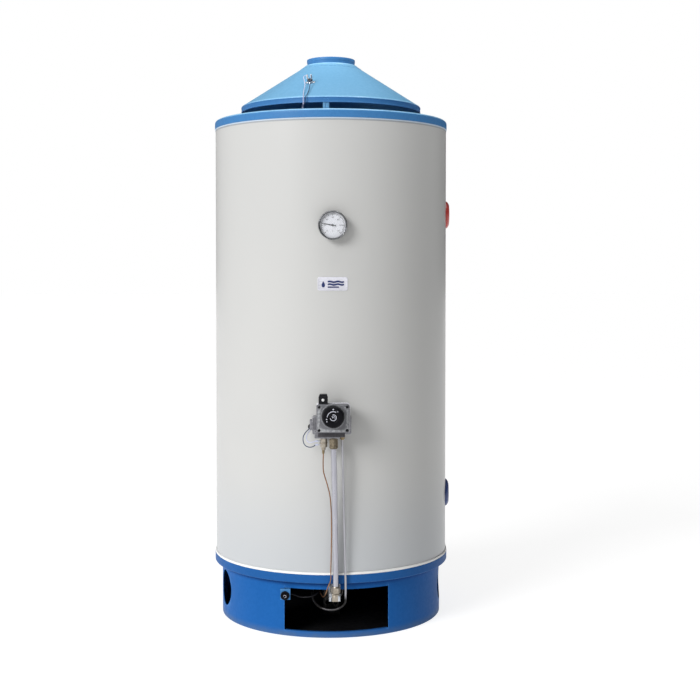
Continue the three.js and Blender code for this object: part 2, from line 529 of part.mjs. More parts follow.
add(base, 'spark_electrode', join(
  bar([-30, -126, 160], [-30, -126, 195], 3.2, 10),
  bar([-30, -126, 190], [-30, -126, 203], 1, 6),
), 0xeceae4, 0.4, 0, [-30, -126, 178]);

// ---------------------------------------------------------------- piezo igniter
const IG = { x: -134, z: 124 };
add(base, 'igniter_body', cut(join(
  bar([IG.x, -346, IG.z], [IG.x, -341.5, IG.z], 12.5, 24),
  bar([IG.x, -342, IG.z], [IG.x, -328, IG.z], 9, 16),
  bar([IG.x, -329, IG.z], [IG.x, -321, IG.z], 3, 8),
), bar([IG.x, -350, IG.z], [IG.x, -336, IG.z], 6.6, 16)), BLACK, 0.4, 0, [IG.x, -340, IG.z]);
add(base, 'igniter_button', bar([IG.x, -352, IG.z], [IG.x, -342, IG.z], 6.2, 16), 0x202226, 0.35, 0, [IG.x, -346, IG.z]);
const innerFlange = box(-21, 21, -327.5, -326, IG.z - 12, IG.z + 18).rotateZ(rad(-25.2));
add(base, 'igniter_bracket', cut(join(
  box(-147, -119.2, -341.2, -339.7, IG.z - 12, IG.z + 18),
  box(-147, -119.2, -341.2, -330, IG.z + 16.5, IG.z + 18),
  box(-120.7, -119.2, -341.2, -338, IG.z - 12, IG.z + 18),
  box(-120.7, -119.2, -341.2, -303, IG.z - 12, BURNER_OPENING.z1 - 0.5),
  closed(innerFlange),
),
bar([IG.x, -345, IG.z], [IG.x, -335, IG.z], 9.3, 16),
bar([-125, -311, IG.z - 3], [-115, -311, IG.z - 3], 4, 10),
), 0x2c6cb4, 0.35, 0.1, [-120, -340, IG.z + 3]);

// ---------------------------------------------------------------- leads
const nearCone = (az, r, lift) => {
  const [x, y] = at(r, az, 0);
  return [x, y, hoodZ(r) + lift];
};
// Blade tips of the spill thermostat in the heater's frame.
function bladeTip(sx, up = spillTop + 6.4, along = 0) {
  const v = new THREE.Vector3(sx, along, up);
  v.applyAxisAngle(new THREE.Vector3(1, 0, 0), Math.atan2(-coneNormal.y, coneNormal.z));
  v.add(new THREE.Vector3(0, -spill.r, hoodZ(spill.r)));
  v.applyAxisAngle(new THREE.Vector3(0, 0, 1), rad(spill.az));
  return v.toArray();
}
const HOOD_LEAD_1 = [
  bladeTip(-5.9, spillTop + 6.4), bladeTip(-7.5, spillTop + 12, -1), bladeTip(-13, spillTop + 12, -10),
  nearCone(-20.4, 222, 12), nearCone(-19, 246, 7), nearCone(-17.9, 266, 4),
  at(277, -17.2, 1528), at(279.5, -17.0, 1512), [-82.6, -275.4, 1494], [-82.6, -276.5, 1481],
];
const HOOD_LEAD_2 = [
  bladeTip(5.9, spillTop + 6.4), bladeTip(7.2, spillTop + 12, -1), bladeTip(10, spillTop + 10, -11),
  nearCone(-16.6, 218, 12), nearCone(-15.5, 244, 7), nearCone(-15.4, 266, 4),
  at(277.5, -15.6, 1529), at(280.5, -16.0, 1512), [-85.2, -280, 1495], [-85.6, -279, 1481],
];
add(hood, 'hood_lead_1', tube(HOOD_LEAD_1, 1.2, { sides: 8, steps: 24 }), 0xc9cfe0, 0.5, 0, HOOD_LEAD_1[0]);
add(hood, 'hood_lead_2', tube(HOOD_LEAD_2, 1.2, { sides: 8, steps: 24 }), 0x49586f, 0.5, 0, HOOD_LEAD_2[0]);

const port = at(344, WIRE_PORT.az, WIRE_PORT.z);
const LOOP_LEAD_1 = [
  [port[0] - 1.6, port[1], port[2] + 1], [-61.8, -352, 598.6], [-67, -362, 594], [-76, -372, 586], [-82, -379, 574],
  [-81.5, -384, 562], [-76, -388, 552.5], [-66, -390, 548.2], [-55, -390.5, 549.5], [-50.5, -390.5, 552.6], [-47, -390.5, 554.6],
];
const LOOP_LEAD_2 = [
  [port[0] + 1.8, port[1], port[2] - 1], [-58.4, -352.5, 597], [-62, -361, 592], [-68, -370, 586], [-72.5, -377, 578],
  [-72.8, -382, 570], [-69, -386, 563], [-61, -389, 561], [-54, -390.3, 562.8], [-47, -390.5, 564.8],
];
add(valve, 'loop_lead_1', tube(LOOP_LEAD_1, 1.3, { sides: 8, steps: 18 }), 0x3f4c66, 0.5, 0, LOOP_LEAD_1[4]);
add(valve, 'loop_lead_2', tube(LOOP_LEAD_2, 1.3, { sides: 8, steps: 16 }), 0xd7d8ee, 0.5, 0, LOOP_LEAD_2[4]);

const IGNITION_LEAD = [
  [IG.x, -320.6, IG.z], [-133.9, -317, IG.z], [-130.6, -312.4, IG.z - 0.8], [-122, -310.9, IG.z - 2.7], [-112, -311.5, IG.z - 4.2],
  [-90, -312, 112], [-68, -316, 113],
  [-52, -314, 117], [-42, -304, 122], [-34, -280, 126], [-31, -220, 122], [-30, -165, 123], [-30, -133, 134], [-30, -126.3, 147], [-30, -126, 159.3],
];
add(base, 'ignition_lead', tube(IGNITION_LEAD, 1.7, { sides: 8, steps: 36 }), 0x26282c, 0.5, 0, [-90, -312, 108]);

export default heater;
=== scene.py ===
"""Tank water heater: the visual model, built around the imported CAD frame.

Metres in the scene, +Z up, front towards -Y. Shapes are worked out in millimetres, as the CAD is,
and scaled when a piece is made. Azimuths are degrees from the front towards +X.
"""

import json
import math

import bpy
import bmesh
import numpy as np
from mathutils import Matrix, Quaternion, Vector


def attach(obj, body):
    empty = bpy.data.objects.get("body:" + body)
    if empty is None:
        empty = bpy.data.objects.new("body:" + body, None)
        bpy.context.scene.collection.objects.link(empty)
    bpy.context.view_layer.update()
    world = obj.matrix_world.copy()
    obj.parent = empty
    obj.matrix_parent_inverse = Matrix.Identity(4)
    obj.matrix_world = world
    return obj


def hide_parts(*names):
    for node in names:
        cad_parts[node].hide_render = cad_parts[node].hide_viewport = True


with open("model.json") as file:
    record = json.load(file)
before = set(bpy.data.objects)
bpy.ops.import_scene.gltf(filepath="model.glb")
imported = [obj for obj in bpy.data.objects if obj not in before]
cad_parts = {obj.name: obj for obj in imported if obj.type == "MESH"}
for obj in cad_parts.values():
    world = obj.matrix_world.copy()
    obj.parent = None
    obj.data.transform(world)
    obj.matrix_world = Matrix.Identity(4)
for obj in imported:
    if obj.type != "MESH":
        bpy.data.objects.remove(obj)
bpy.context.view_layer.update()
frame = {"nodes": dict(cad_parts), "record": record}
SCENE = bpy.context.scene

# ---------------------------------------------------------------- driving dimensions (mm)
R_JACKET, JACKET_T, JACKET_Z0, JACKET_Z1 = 350.0, 1.5, 161.8, 1474.0
R_SKIRT, SKIRT_T, SKIRT_TOP = 332.0, 2.0, 158.7
OPENING = dict(a0=-24.3, a1=28.8, z0=17.0, z1=137.5)
AIR_HOLES, AIR_R, AIR_Z = (-72.55, 82.45), 52.0, 88.0
R_RING, RING_Z0, RING_Z1 = 354.0, 159.0, 183.0
R_LID, LID_Z0, LID_TOP = 352.0, 1460.0, 1485.0
R_HOOD, HOOD_Z0, BAND_TOP, HOOD_TOP = 272.5, 1511.7, 1528.0, 1657.0
R_COLLAR, HEIGHT = 73.0, 1675.0
HOOD_LEGS = (-3.65, 116.35, -123.65)
THERMO_Z, VALVE_Z, KNOB_Z = 1160.0, 631.0, 637.5
PORT_AZ, HOT_Z, COLD_Z, DRAIN_Z = 87.15, 1205.0, 356.0, 275.0
ANODE = (200.0, 150.0)
WIRE_AZ, WIRE_Z = -10.0, 599.0
GROMMET = (-84.0, -277.0)
IG_X, IG_Z = -134.0, 124.0
MZ = 125.0
GAP = 0.3
BIG = 256


def rad(d):
    return math.radians(d)


def at(r, az, z):
    return (r * math.sin(rad(az)), -r * math.cos(rad(az)), z)


# ================================================================ geometry
class G:
    """A bag of vertices (mm) and faces."""

    def __init__(self, v, f):
        self.v = np.array(v, float).reshape(-1, 3)
        self.f = [tuple(int(i) for i in face) for face in f]

    def tf(self, m):
        a = np.array(m, float)
        return G(self.v @ a[:3, :3].T + a[:3, 3], self.f)

    def move(self, x=0.0, y=0.0, z=0.0):
        return G(self.v + np.array([x, y, z], float), self.f)

    def rx(self, d):
        return self.tf(Matrix.Rotation(rad(d), 4, "X"))

    def ry(self, d):
        return self.tf(Matrix.Rotation(rad(d), 4, "Y"))

    def rz(self, d):
        return self.tf(Matrix.Rotation(rad(d), 4, "Z"))

    def scale(self, x=1.0, y=1.0, z=1.0):
        return G(self.v * np.array([x, y, z], float), self.f)

    def __add__(self, o):
        n = len(self.v)
        return G(np.vstack([self.v, o.v]), self.f + [tuple(i + n for i in face) for face in o.f])


def merge(items):
    out = items[0]
    for g in items[1:]:
        out = out + g
    return out


def fillet(points, seg=4, guard=True, loop=True):
    """Points are (a, b) or (a, b, radius). Corners with a radius become arcs, with a support point beside them."""
    out = []
    n = len(points)
    for i, p in enumerate(points):
        f = p[2] if len(p) > 2 else 0.0
        if f <= 0 or (not loop and i in (0, n - 1)):
            out.append((p[0], p[1]))
            continue
        P = np.array(p[:2], float)
        A = np.array(points[i - 1][:2], float) - P
        B = np.array(points[(i + 1) % n][:2], float) - P
        la, lb = np.linalg.norm(A), np.linalg.norm(B)
        A, B = A / la, B / lb
        ang = math.acos(max(-1.0, min(1.0, float(A @ B))))
        if ang > math.pi - 0.02:
            out.append((p[0], p[1]))
            continue
        t = min(f / math.tan(ang / 2), la * 0.48, lb * 0.48)
        r = t * math.tan(ang / 2)
        mid = (A + B) / np.linalg.norm(A + B)
        c = P + mid * (r / math.sin(ang / 2))
        v0, v1 = P + A * t - c, P + B * t - c
        th = math.atan2(v0[0] * v1[1] - v0[1] * v1[0], float(v0 @ v1))
        if guard and la > 8 * t:
            out.append(tuple(P + A * (t + 1.6 * r)))
        for k in range(seg + 1):
            a = th * k / seg
            out.append((c[0] + v0[0] * math.cos(a) - v0[1] * math.sin(a), c[1] + v0[0] * math.sin(a) + v0[1] * math.cos(a)))
        if guard and lb > 8 * t:
            out.append(tuple(P + B * (t + 1.6 * r)))
    return out


def lathe(points, n=64, seg=4, guard=True):
    """Closed profile of (radius, height[, fillet]) turned about Z. It starts and ends on the axis, or closes on itself."""
    pts = fillet(points, seg, guard)
    on_axis = pts[0][0] < 1e-6 and pts[-1][0] < 1e-6
    verts, rings = [], []
    for r, h in pts:
        if r < 1e-6:
            rings.append([len(verts)])
            verts.append((0, 0, h))
        else:
            base = len(verts)
            rings.append(list(range(base, base + n)))
            for k in range(n):
                a = 2 * math.pi * k / n
                verts.append((r * math.sin(a), -r * math.cos(a), h))
    faces = []
    count = len(rings)
    for i in range(count if not on_axis else count - 1):
        a, b = rings[i], rings[(i + 1) % count]
        for k in range(n):
            k2 = (k + 1) % n
            if len(a) == 1 and len(b) == 1:
                continue
            if len(a) == 1:
                faces.append((a[0], b[k], b[k2]))
            elif len(b) == 1:
                faces.append((a[k], b[0], a[k2]))
            else:
                faces.append((a[k], b[k], b[k2], a[k2]))
    return G(verts, faces)


def along(g, origin, direction):
    """Turns a shape's +Z to the direction and puts its origin at the point."""
    q = Vector((0, 0, 1)).rotation_difference(Vector(direction).normalized())
    return g.tf(Matrix.Translation(Vector(origin)) @ q.to_matrix().to_4x4())


def turn_y(points, x, z, n=64, seg=4, guard=True):
    """Profile of (radius, y[, fillet]) turned about the front-back axis through (x, z)."""
    return lathe(points, n, seg, guard).rx(-90).scale(1, 1, 1).move(x, 0, z)


def rod(a, b, r, n=32, edge=0.4, seg=3):
    """Round bar between two points with rounded ends."""
    va, vb = Vector(a), Vector(b)
    L = (vb - va).length
    e = min(edge, r * 0.45, L * 0.45)
    return along(lathe([(0, 0), (r, 0, e), (r, L, e), (0, L)], n, seg, False), a, vb - va)


def rrect(x0, x1, z0, z1, r, seg=5):
    r = max(0.05, min(r, (x1 - x0) / 2 - 0.01, (z1 - z0) / 2 - 0.01))
    out = []
    for cx, cz, a0 in ((x1 - r, z0 + r, -90), (x1 - r, z1 - r, 0), (x0 + r, z1 - r, 90), (x0 + r, z0 + r, 180)):
        for k in range(seg + 1):
            a = rad(a0 + 90 * k / seg)
            out.append((cx + r * math.cos(a), cz + r * math.sin(a)))
    return out


def loft(rings, caps=True):
    verts = [p for ring in rings for p in ring]
    m = len(rings[0])
    faces = []
    for i in range(len(rings) - 1):
        for k in range(m):
            k2 = (k + 1) % m
            faces.append((i * m + k, i * m + k2, (i + 1) * m + k2, (i + 1) * m + k))
    if caps:
        faces.append(tuple(reversed(range(m))))
        faces.append(tuple((len(rings) - 1) * m + k for k in range(m)))
    return G(verts, faces)


def slab(x0, x1, z0, z1, y0, y1, r=2.0, front=0.8, back=0.0, seg=4, corner=5, draft=0.0):
    """Rounded rectangle in X and Z from y0 (front) to y1 (back), its front and back edges rounded."""
    rings = []

    def ring(inset, y):
        rings.append([(px, y, pz) for px, pz in rrect(x0 + inset, x1 - inset, z0 + inset, z1 - inset, r - inset * 0.6, corner)])
    if back > 0:
        for k in range(seg + 1):
            a = math.pi / 2 * k / seg
            ring(back * (1 - math.sin(a)), y1 - back * (1 - math.cos(a)))
    else:
        ring(0, y1)
    if front > 0:
        for k in range(seg + 1):
            a = math.pi / 2 * (1 - k / seg)
            ring(draft + front * (1 - math.sin(a)), y0 + front * (1 - math.cos(a)))
    else:
        ring(draft, y0)
    return loft(rings)


def prism(outline, y0, y1):
    """Outline in (x, z) extruded from y0 to y1."""
    return loft([[(x, y1, z) for x, z in outline], [(x, y0, z) for x, z in outline]])


def box(x0, x1, y0, y1, z0, z1, r=0.0):
    g = loft([[(x0, y0, z0), (x1, y0, z0), (x1, y1, z0), (x0, y1, z0)], [(x0, y0, z1), (x1, y0, z1), (x1, y1, z1), (x0, y1, z1)]])
    return bevel(g, r, 2) if r > 0 else g


def _object(g, scale=1.0):
    me = bpy.data.meshes.new("tmp")
    me.from_pydata([tuple(p) for p in g.v * scale], [], g.f)
    me.update()
    bm = bmesh.new()
    bm.from_mesh(me)
    bmesh.ops.remove_doubles(bm, verts=bm.verts, dist=1e-4 * scale)
    bmesh.ops.recalc_face_normals(bm, faces=bm.faces)
    bm.to_mesh(me)
    bm.free()
    o = bpy.data.objects.new("tmp", me)
    SCENE.collection.objects.link(o)
    return o


def _applied(o):
    dg = bpy.context.evaluated_depsgraph_get()
    dg.update()
    return bpy.data.meshes.new_from_object(o.evaluated_get(dg))


def _read(me):
    n = len(me.vertices)
    co = np.zeros(n * 3)
    me.vertices.foreach_get("co", co)
    return G(co.reshape(-1, 3), [tuple(p.vertices) for p in me.polygons])


def _drop(*objs):
    for o in objs:
        me = o.data
        bpy.data.objects.remove(o)
        if me.users == 0:
            bpy.data.meshes.remove(me)


def boolean(a, tools, op="DIFFERENCE"):
    o = _object(a)
    cutters = [_object(t) for t in tools]
    for c in cutters:
        m = o.modifiers.new("b", "BOOLEAN")
        m.operation, m.solver, m.object = op, "EXACT", c
    me = _applied(o)
    out = _read(me)
    _drop(o, *cutters)
    bpy.data.meshes.remove(me)
    return out


def cut(a, *tools):
    return boolean(a, tools)


def bevel(g, width, seg=2, angle=35):
    o = _object(g)
    m = o.modifiers.new("v", "BEVEL")
    m.width, m.segments, m.limit_method, m.angle_limit = width, seg, "ANGLE", rad(angle)
    m.use_clamp_overlap = True
    me = _applied(o)
    out = _read(me)
    _drop(o)
    bpy.data.meshes.remove(me)
    return out


def centripetal(points, per=10):
    """A smooth curve through the points, sampled: centripetal Catmull-Rom with the end points carried on."""
    P = [Vector(p) for p in points]
    out = []
    for i in range(len(P) - 1):
        p1, p2 = P[i], P[i + 1]
        p0 = P[i - 1] if i > 0 else 2 * P[0] - P[1]
        p3 = P[i + 2] if i + 2 < len(P) else 2 * P[-1] - P[-2]
        d0 = (p1 - p0).length_squared ** 0.25
        d1 = (p2 - p1).length_squared ** 0.25
        d2 = (p3 - p2).length_squared ** 0.25
        d1 = 1.0 if d1 < 1e-4 else d1
        d0 = d1 if d0 < 1e-4 else d0
        d2 = d1 if d2 < 1e-4 else d2
        t1 = ((p1 - p0) / d0 - (p2 - p0) / (d0 + d1) + (p2 - p1) / d1) * d1
        t2 = ((p2 - p1) / d1 - (p3 - p1) / (d1 + d2) + (p3 - p2) / d2) * d1
        c2 = -3 * p1 + 3 * p2 - 2 * t1 - t2
        c3 = 2 * p1 - 2 * p2 + t1 + t2
        for k in range(per):
            t = k / per
            out.append(p1 + t1 * t + c2 * t * t + c3 * t * t * t)
    out.append(P[-1].copy())
    return out


def length_of(path):
    return sum((b - a).length for a, b in zip(path, path[1:]))


def sweep(path, radius, sides=16, round_ends=False, bore=0.0, ripple=None):
    """Round tube along a sampled path. radius is a number or a function of the share of the way along."""
    total = length_of(path)
    tangents = []
    for i in range(len(path)):
        a, b = path[max(0, i - 1)], path[min(len(path) - 1, i + 1)]
        tangents.append((b - a).normalized())
    normal = tangents[0].orthogonal().normalized()
    run, rings, last = 0.0, [], path[0]
    prev = tangents[0]
    for p, t in zip(path, tangents):
        q = prev.rotation_difference(t)
        normal = (q @ normal)
        normal = (normal - t * normal.dot(t)).normalized()
        prev = t
        run += (p - last).length
        last = p
        r = radius(run / total) if callable(radius) else radius
        side = t.cross(normal)
        rings.append([tuple(p + (normal * math.cos(2 * math.pi * k / sides) + side * math.sin(2 * math.pi * k / sides)) * r) for k in range(sides)])
    if bore > 0:
        inner = []
        for p, ring in zip(path, rings):
            inner.append([tuple(p + (Vector(v) - p).normalized() * bore) for v in ring])
        m = len(rings)
        verts = [v for ring in rings + inner for v in ring]
        faces = []
        for i in range(m - 1):
            for k in range(sides):
                k2 = (k + 1) % sides
                faces.append((i * sides + k, i * sides + k2, (i + 1) * sides + k2, (i + 1) * sides + k))
                o = m * sides
                faces.append((o + i * sides + k, o + (i + 1) * sides + k, o + (i + 1) * sides + k2, o + i * sides + k2))
        for i in (0, m - 1):
            for k in range(sides):
                k2 = (k + 1) % sides
                faces.append((i * sides + k, m * sides + i * sides + k, m * sides + i * sides + k2, i * sides + k2))
        return G(verts, faces)
    if round_ends:
        for end, sign in ((0, -1), (-1, 1)):
            p, t = path[end], tangents[end]
            ring = rings[0] if end == 0 else rings[-1]
            extra = []
            for k in (1, 2, 3):
                a = math.pi / 2 * k / 3.3
                extra.append([tuple(p + (Vector(v) - p) * math.cos(a) + t * sign * (Vector(v) - p).length * math.sin(a)) for v in ring])
            rings = list(reversed(extra)) + rings if end == 0 else rings + extra
    return loft(rings)


def hex_piece(origin, direction, r_corner, length, bore=0.0, chamfer_a=True, chamfer_b=True, turn=0.0, n=48):
    """Hexagon bar with turned chamfers, its start at origin; bore > 0 makes it a nut."""
    hexagon = [(r_corner * math.cos(rad(60 * k + turn)), r_corner * math.sin(rad(60 * k + turn))) for k in range(6)]
    solid = loft([[(x, y, 0) for x, y in hexagon], [(x, y, length) for x, y in hexagon]])
    flat = r_corner * 0.866
    c = (r_corner - flat * 0.965) * 0.55
    R, r0 = r_corner + 0.4, flat * 0.965
    prof = [(0, 0), (r0, 0), (R, c + 0.25)] if chamfer_a else [(0, 0), (R, 0)]
    prof += [(R, length - c - 0.25), (r0, length), (0, length)] if chamfer_b else [(R, length), (0, length)]
    g = boolean(solid, [lathe(prof, n)], "INTERSECT")
    if bore > 0:
        g = cut(g, lathe([(0, -1), (bore, -1), (bore, length + 1), (0, length + 1)], n))
    return along(g, origin, direction)


def threads(r, z0, z1, pitch, depth):
    """Profile points of thread crests along a turned wall of radius r, as (radius, height)."""
    out = []
    k = max(1, int((z1 - z0) / pitch))
    for i in range(k):
        a = z0 + i * pitch
        out += [(r, a), (r + depth, a + pitch * 0.35), (r + depth, a + pitch * 0.6), (r, a + pitch * 0.95)]
    return out


# ================================================================ materials
class Mat:
    def __init__(self, name):
        self.m = bpy.data.materials.new(name)
        self.m.use_nodes = True
        self.t = self.m.node_tree
        self.t.nodes.clear()
        self.out = self.t.nodes.new("ShaderNodeOutputMaterial")
        self.b = self.t.nodes.new("ShaderNodeBsdfPrincipled")
        self.t.links.new(self.b.outputs[0], self.out.inputs["Surface"])
        self.tc = self.t.nodes.new("ShaderNodeTexCoord")

    def node(self, kind, **props):
        n = self.t.nodes.new(kind)
        for k, v in props.items():
            setattr(n, k, v)
        return n

    def put(self, socket, value):
        if isinstance(value, bpy.types.NodeSocket):
            self.t.links.new(value, socket)
        else:
            socket.default_value = value

    def coord(self, scale=(1, 1, 1), rot=(0, 0, 0), shift=(0, 0, 0)):
        n = self.node("ShaderNodeMapping")
        self.put(n.inputs["Vector"], self.tc.outputs["Object"])
        n.inputs["Scale"].default_value = scale
        n.inputs["Rotation"].default_value = rot
        n.inputs["Location"].default_value = shift
        return n.outputs[0]

    def noise(self, scale, detail=3.0, rough=0.55, stretch=(1, 1, 1), distortion=0.0, shift=(0, 0, 0)):
        n = self.node("ShaderNodeTexNoise")
        self.put(n.inputs["Vector"], self.coord(stretch, shift=shift))
        n.inputs["Scale"].default_value = scale
        n.inputs["Detail"].default_value = detail
        n.inputs["Roughness"].default_value = rough
        n.inputs["Distortion"].default_value = distortion
        return n.outputs[0]

    def cells(self, scale, stretch=(1, 1, 1), feature="F1"):
        n = self.node("ShaderNodeTexVoronoi", feature=feature)
        self.put(n.inputs["Vector"], self.coord(stretch))
        n.inputs["Scale"].default_value = scale
        return n.outputs[0]

    def math(self, op, a, b=0.0, clamp=False):
        n = self.node("ShaderNodeMath", operation=op, use_clamp=clamp)
        self.put(n.inputs[0], a)
        self.put(n.inputs[1], b)
        return n.outputs[0]

    def span(self, v, a, b, c, d, smooth=True):
        n = self.node("ShaderNodeMapRange", interpolation_type="SMOOTHSTEP" if smooth else "LINEAR")
        self.put(n.inputs["Value"], v)
        for key, val in zip(("From Min", "From Max", "To Min", "To Max"), (a, b, c, d)):
            n.inputs[key].default_value = val
        return n.outputs[0]

    def mix(self, fac, a, b, blend="MIX"):
        n = self.node("ShaderNodeMix", data_type="RGBA", blend_type=blend)
        self.put(n.inputs[0], fac)
        self.put(n.inputs[6], (*a, 1.0) if isinstance(a, tuple) else a)
        self.put(n.inputs[7], (*b, 1.0) if isinstance(b, tuple) else b)
        return n.outputs[2]

    def wear(self):
        n = self.node("ShaderNodeAttribute", attribute_name="wear")
        return n.outputs["Fac"]

    def height(self, axis="Z"):
        n = self.node("ShaderNodeSeparateXYZ")
        self.put(n.inputs[0], self.tc.outputs["Object"])
        return n.outputs[axis]

    def bump(self, height, strength, distance, normal=None):
        n = self.node("ShaderNodeBump")
        n.inputs["Strength"].default_value = strength
        n.inputs["Distance"].default_value = distance
        self.put(n.inputs["Height"], height)
        if normal is not None:
            self.put(n.inputs["Normal"], normal)
        return n.outputs[0]


def surface(name, light, dark, rough, metal=0.0, coat=0.0, coat_rough=0.1, spec=0.5, broad=4.0, fine=120.0,
            stretch=(1, 1, 1), share=0.45, bumps=(), wear_and_highlight=None, wear_and_highlight_amount=0.6, worn_rough=None, spots=None, foot_tone_and_shade=None, low_even=0.25, painted_shade_top=None):
    """Painted, moulded, cast or drawn surface: two tones mixed by broad and fine noise, roughness that follows them, a
    stack of bumps, a lighter tone on rounded edges (edge wear, on the blue paints mostly a painted highlight), small
    specks, a foot band of another tone (on the jacket and tubes a painted shade) and a painted shadow darkening up to a
    given height."""
    m = Mat(name)
    n1 = m.noise(broad, 3, 0.55, stretch)
    n2 = m.noise(fine, 4, 0.62, stretch)
    f = m.math("ADD", m.math("MULTIPLY", n1, 1.0 - share), m.math("MULTIPLY", n2, share))
    f = m.span(f, 0.34, 0.66, 0.0, 1.0)
    col = m.mix(f, light, dark)
    if spots:
        scale, tone, amount = spots
        s = m.span(m.noise(scale, 2, 0.5, shift=(3.1, 1.7, 0.4)), 0.68, 0.76, 0.0, amount)
        col = m.mix(s, col, tone)
    if foot_tone_and_shade:
        z, reach, tone, amount = foot_tone_and_shade
        h = m.span(m.height(), z, z + reach, amount, 0.0)
        h = m.math("MULTIPLY", h, m.span(m.noise(26, 4, 0.65, stretch=(1, 1, 0.5)), 0.35, 0.7, low_even, 1.0))
        col = m.mix(h, col, tone)
    if painted_shade_top:
        z, reach, tone, amount = painted_shade_top
        col = m.mix(m.span(m.height(), z - reach, z, 0.0, amount), col, tone)
    r = m.span(n2, 0.3, 0.7, rough[0], rough[1])
    if wear_and_highlight:
        w = m.math("MULTIPLY", m.span(m.wear(), 0.45, 0.95, 0.0, 1.0), m.span(m.noise(170, 4, 0.7), 0.42, 0.6, 0.25, 1.0))
        w = m.math("MULTIPLY", w, wear_and_highlight_amount)
        col = m.mix(w, col, wear_and_highlight)
        if worn_rough is not None:
            mixr = m.node("ShaderNodeMix", data_type="FLOAT")
            m.put(mixr.inputs[0], w)
            m.put(mixr.inputs[2], r)
            mixr.inputs[3].default_value = worn_rough
            r = mixr.outputs[0]
    normal = None
    for b in bumps:
        scale, detail, strength, distance = b[:4]
        st = b[4] if len(b) > 4 else (1, 1, 1)
        normal = m.bump(m.noise(scale, detail, 0.6, st), strength, distance, normal)
    m.put(m.b.inputs["Base Color"], col)
    m.put(m.b.inputs["Roughness"], r)
    m.b.inputs["Metallic"].default_value = metal
    m.b.inputs["Specular IOR Level"].default_value = spec
    m.b.inputs["Coat Weight"].default_value = coat
    m.b.inputs["Coat Roughness"].default_value = coat_rough
    if normal is not None:
        m.put(m.b.inputs["Normal"], normal)
    return m.m


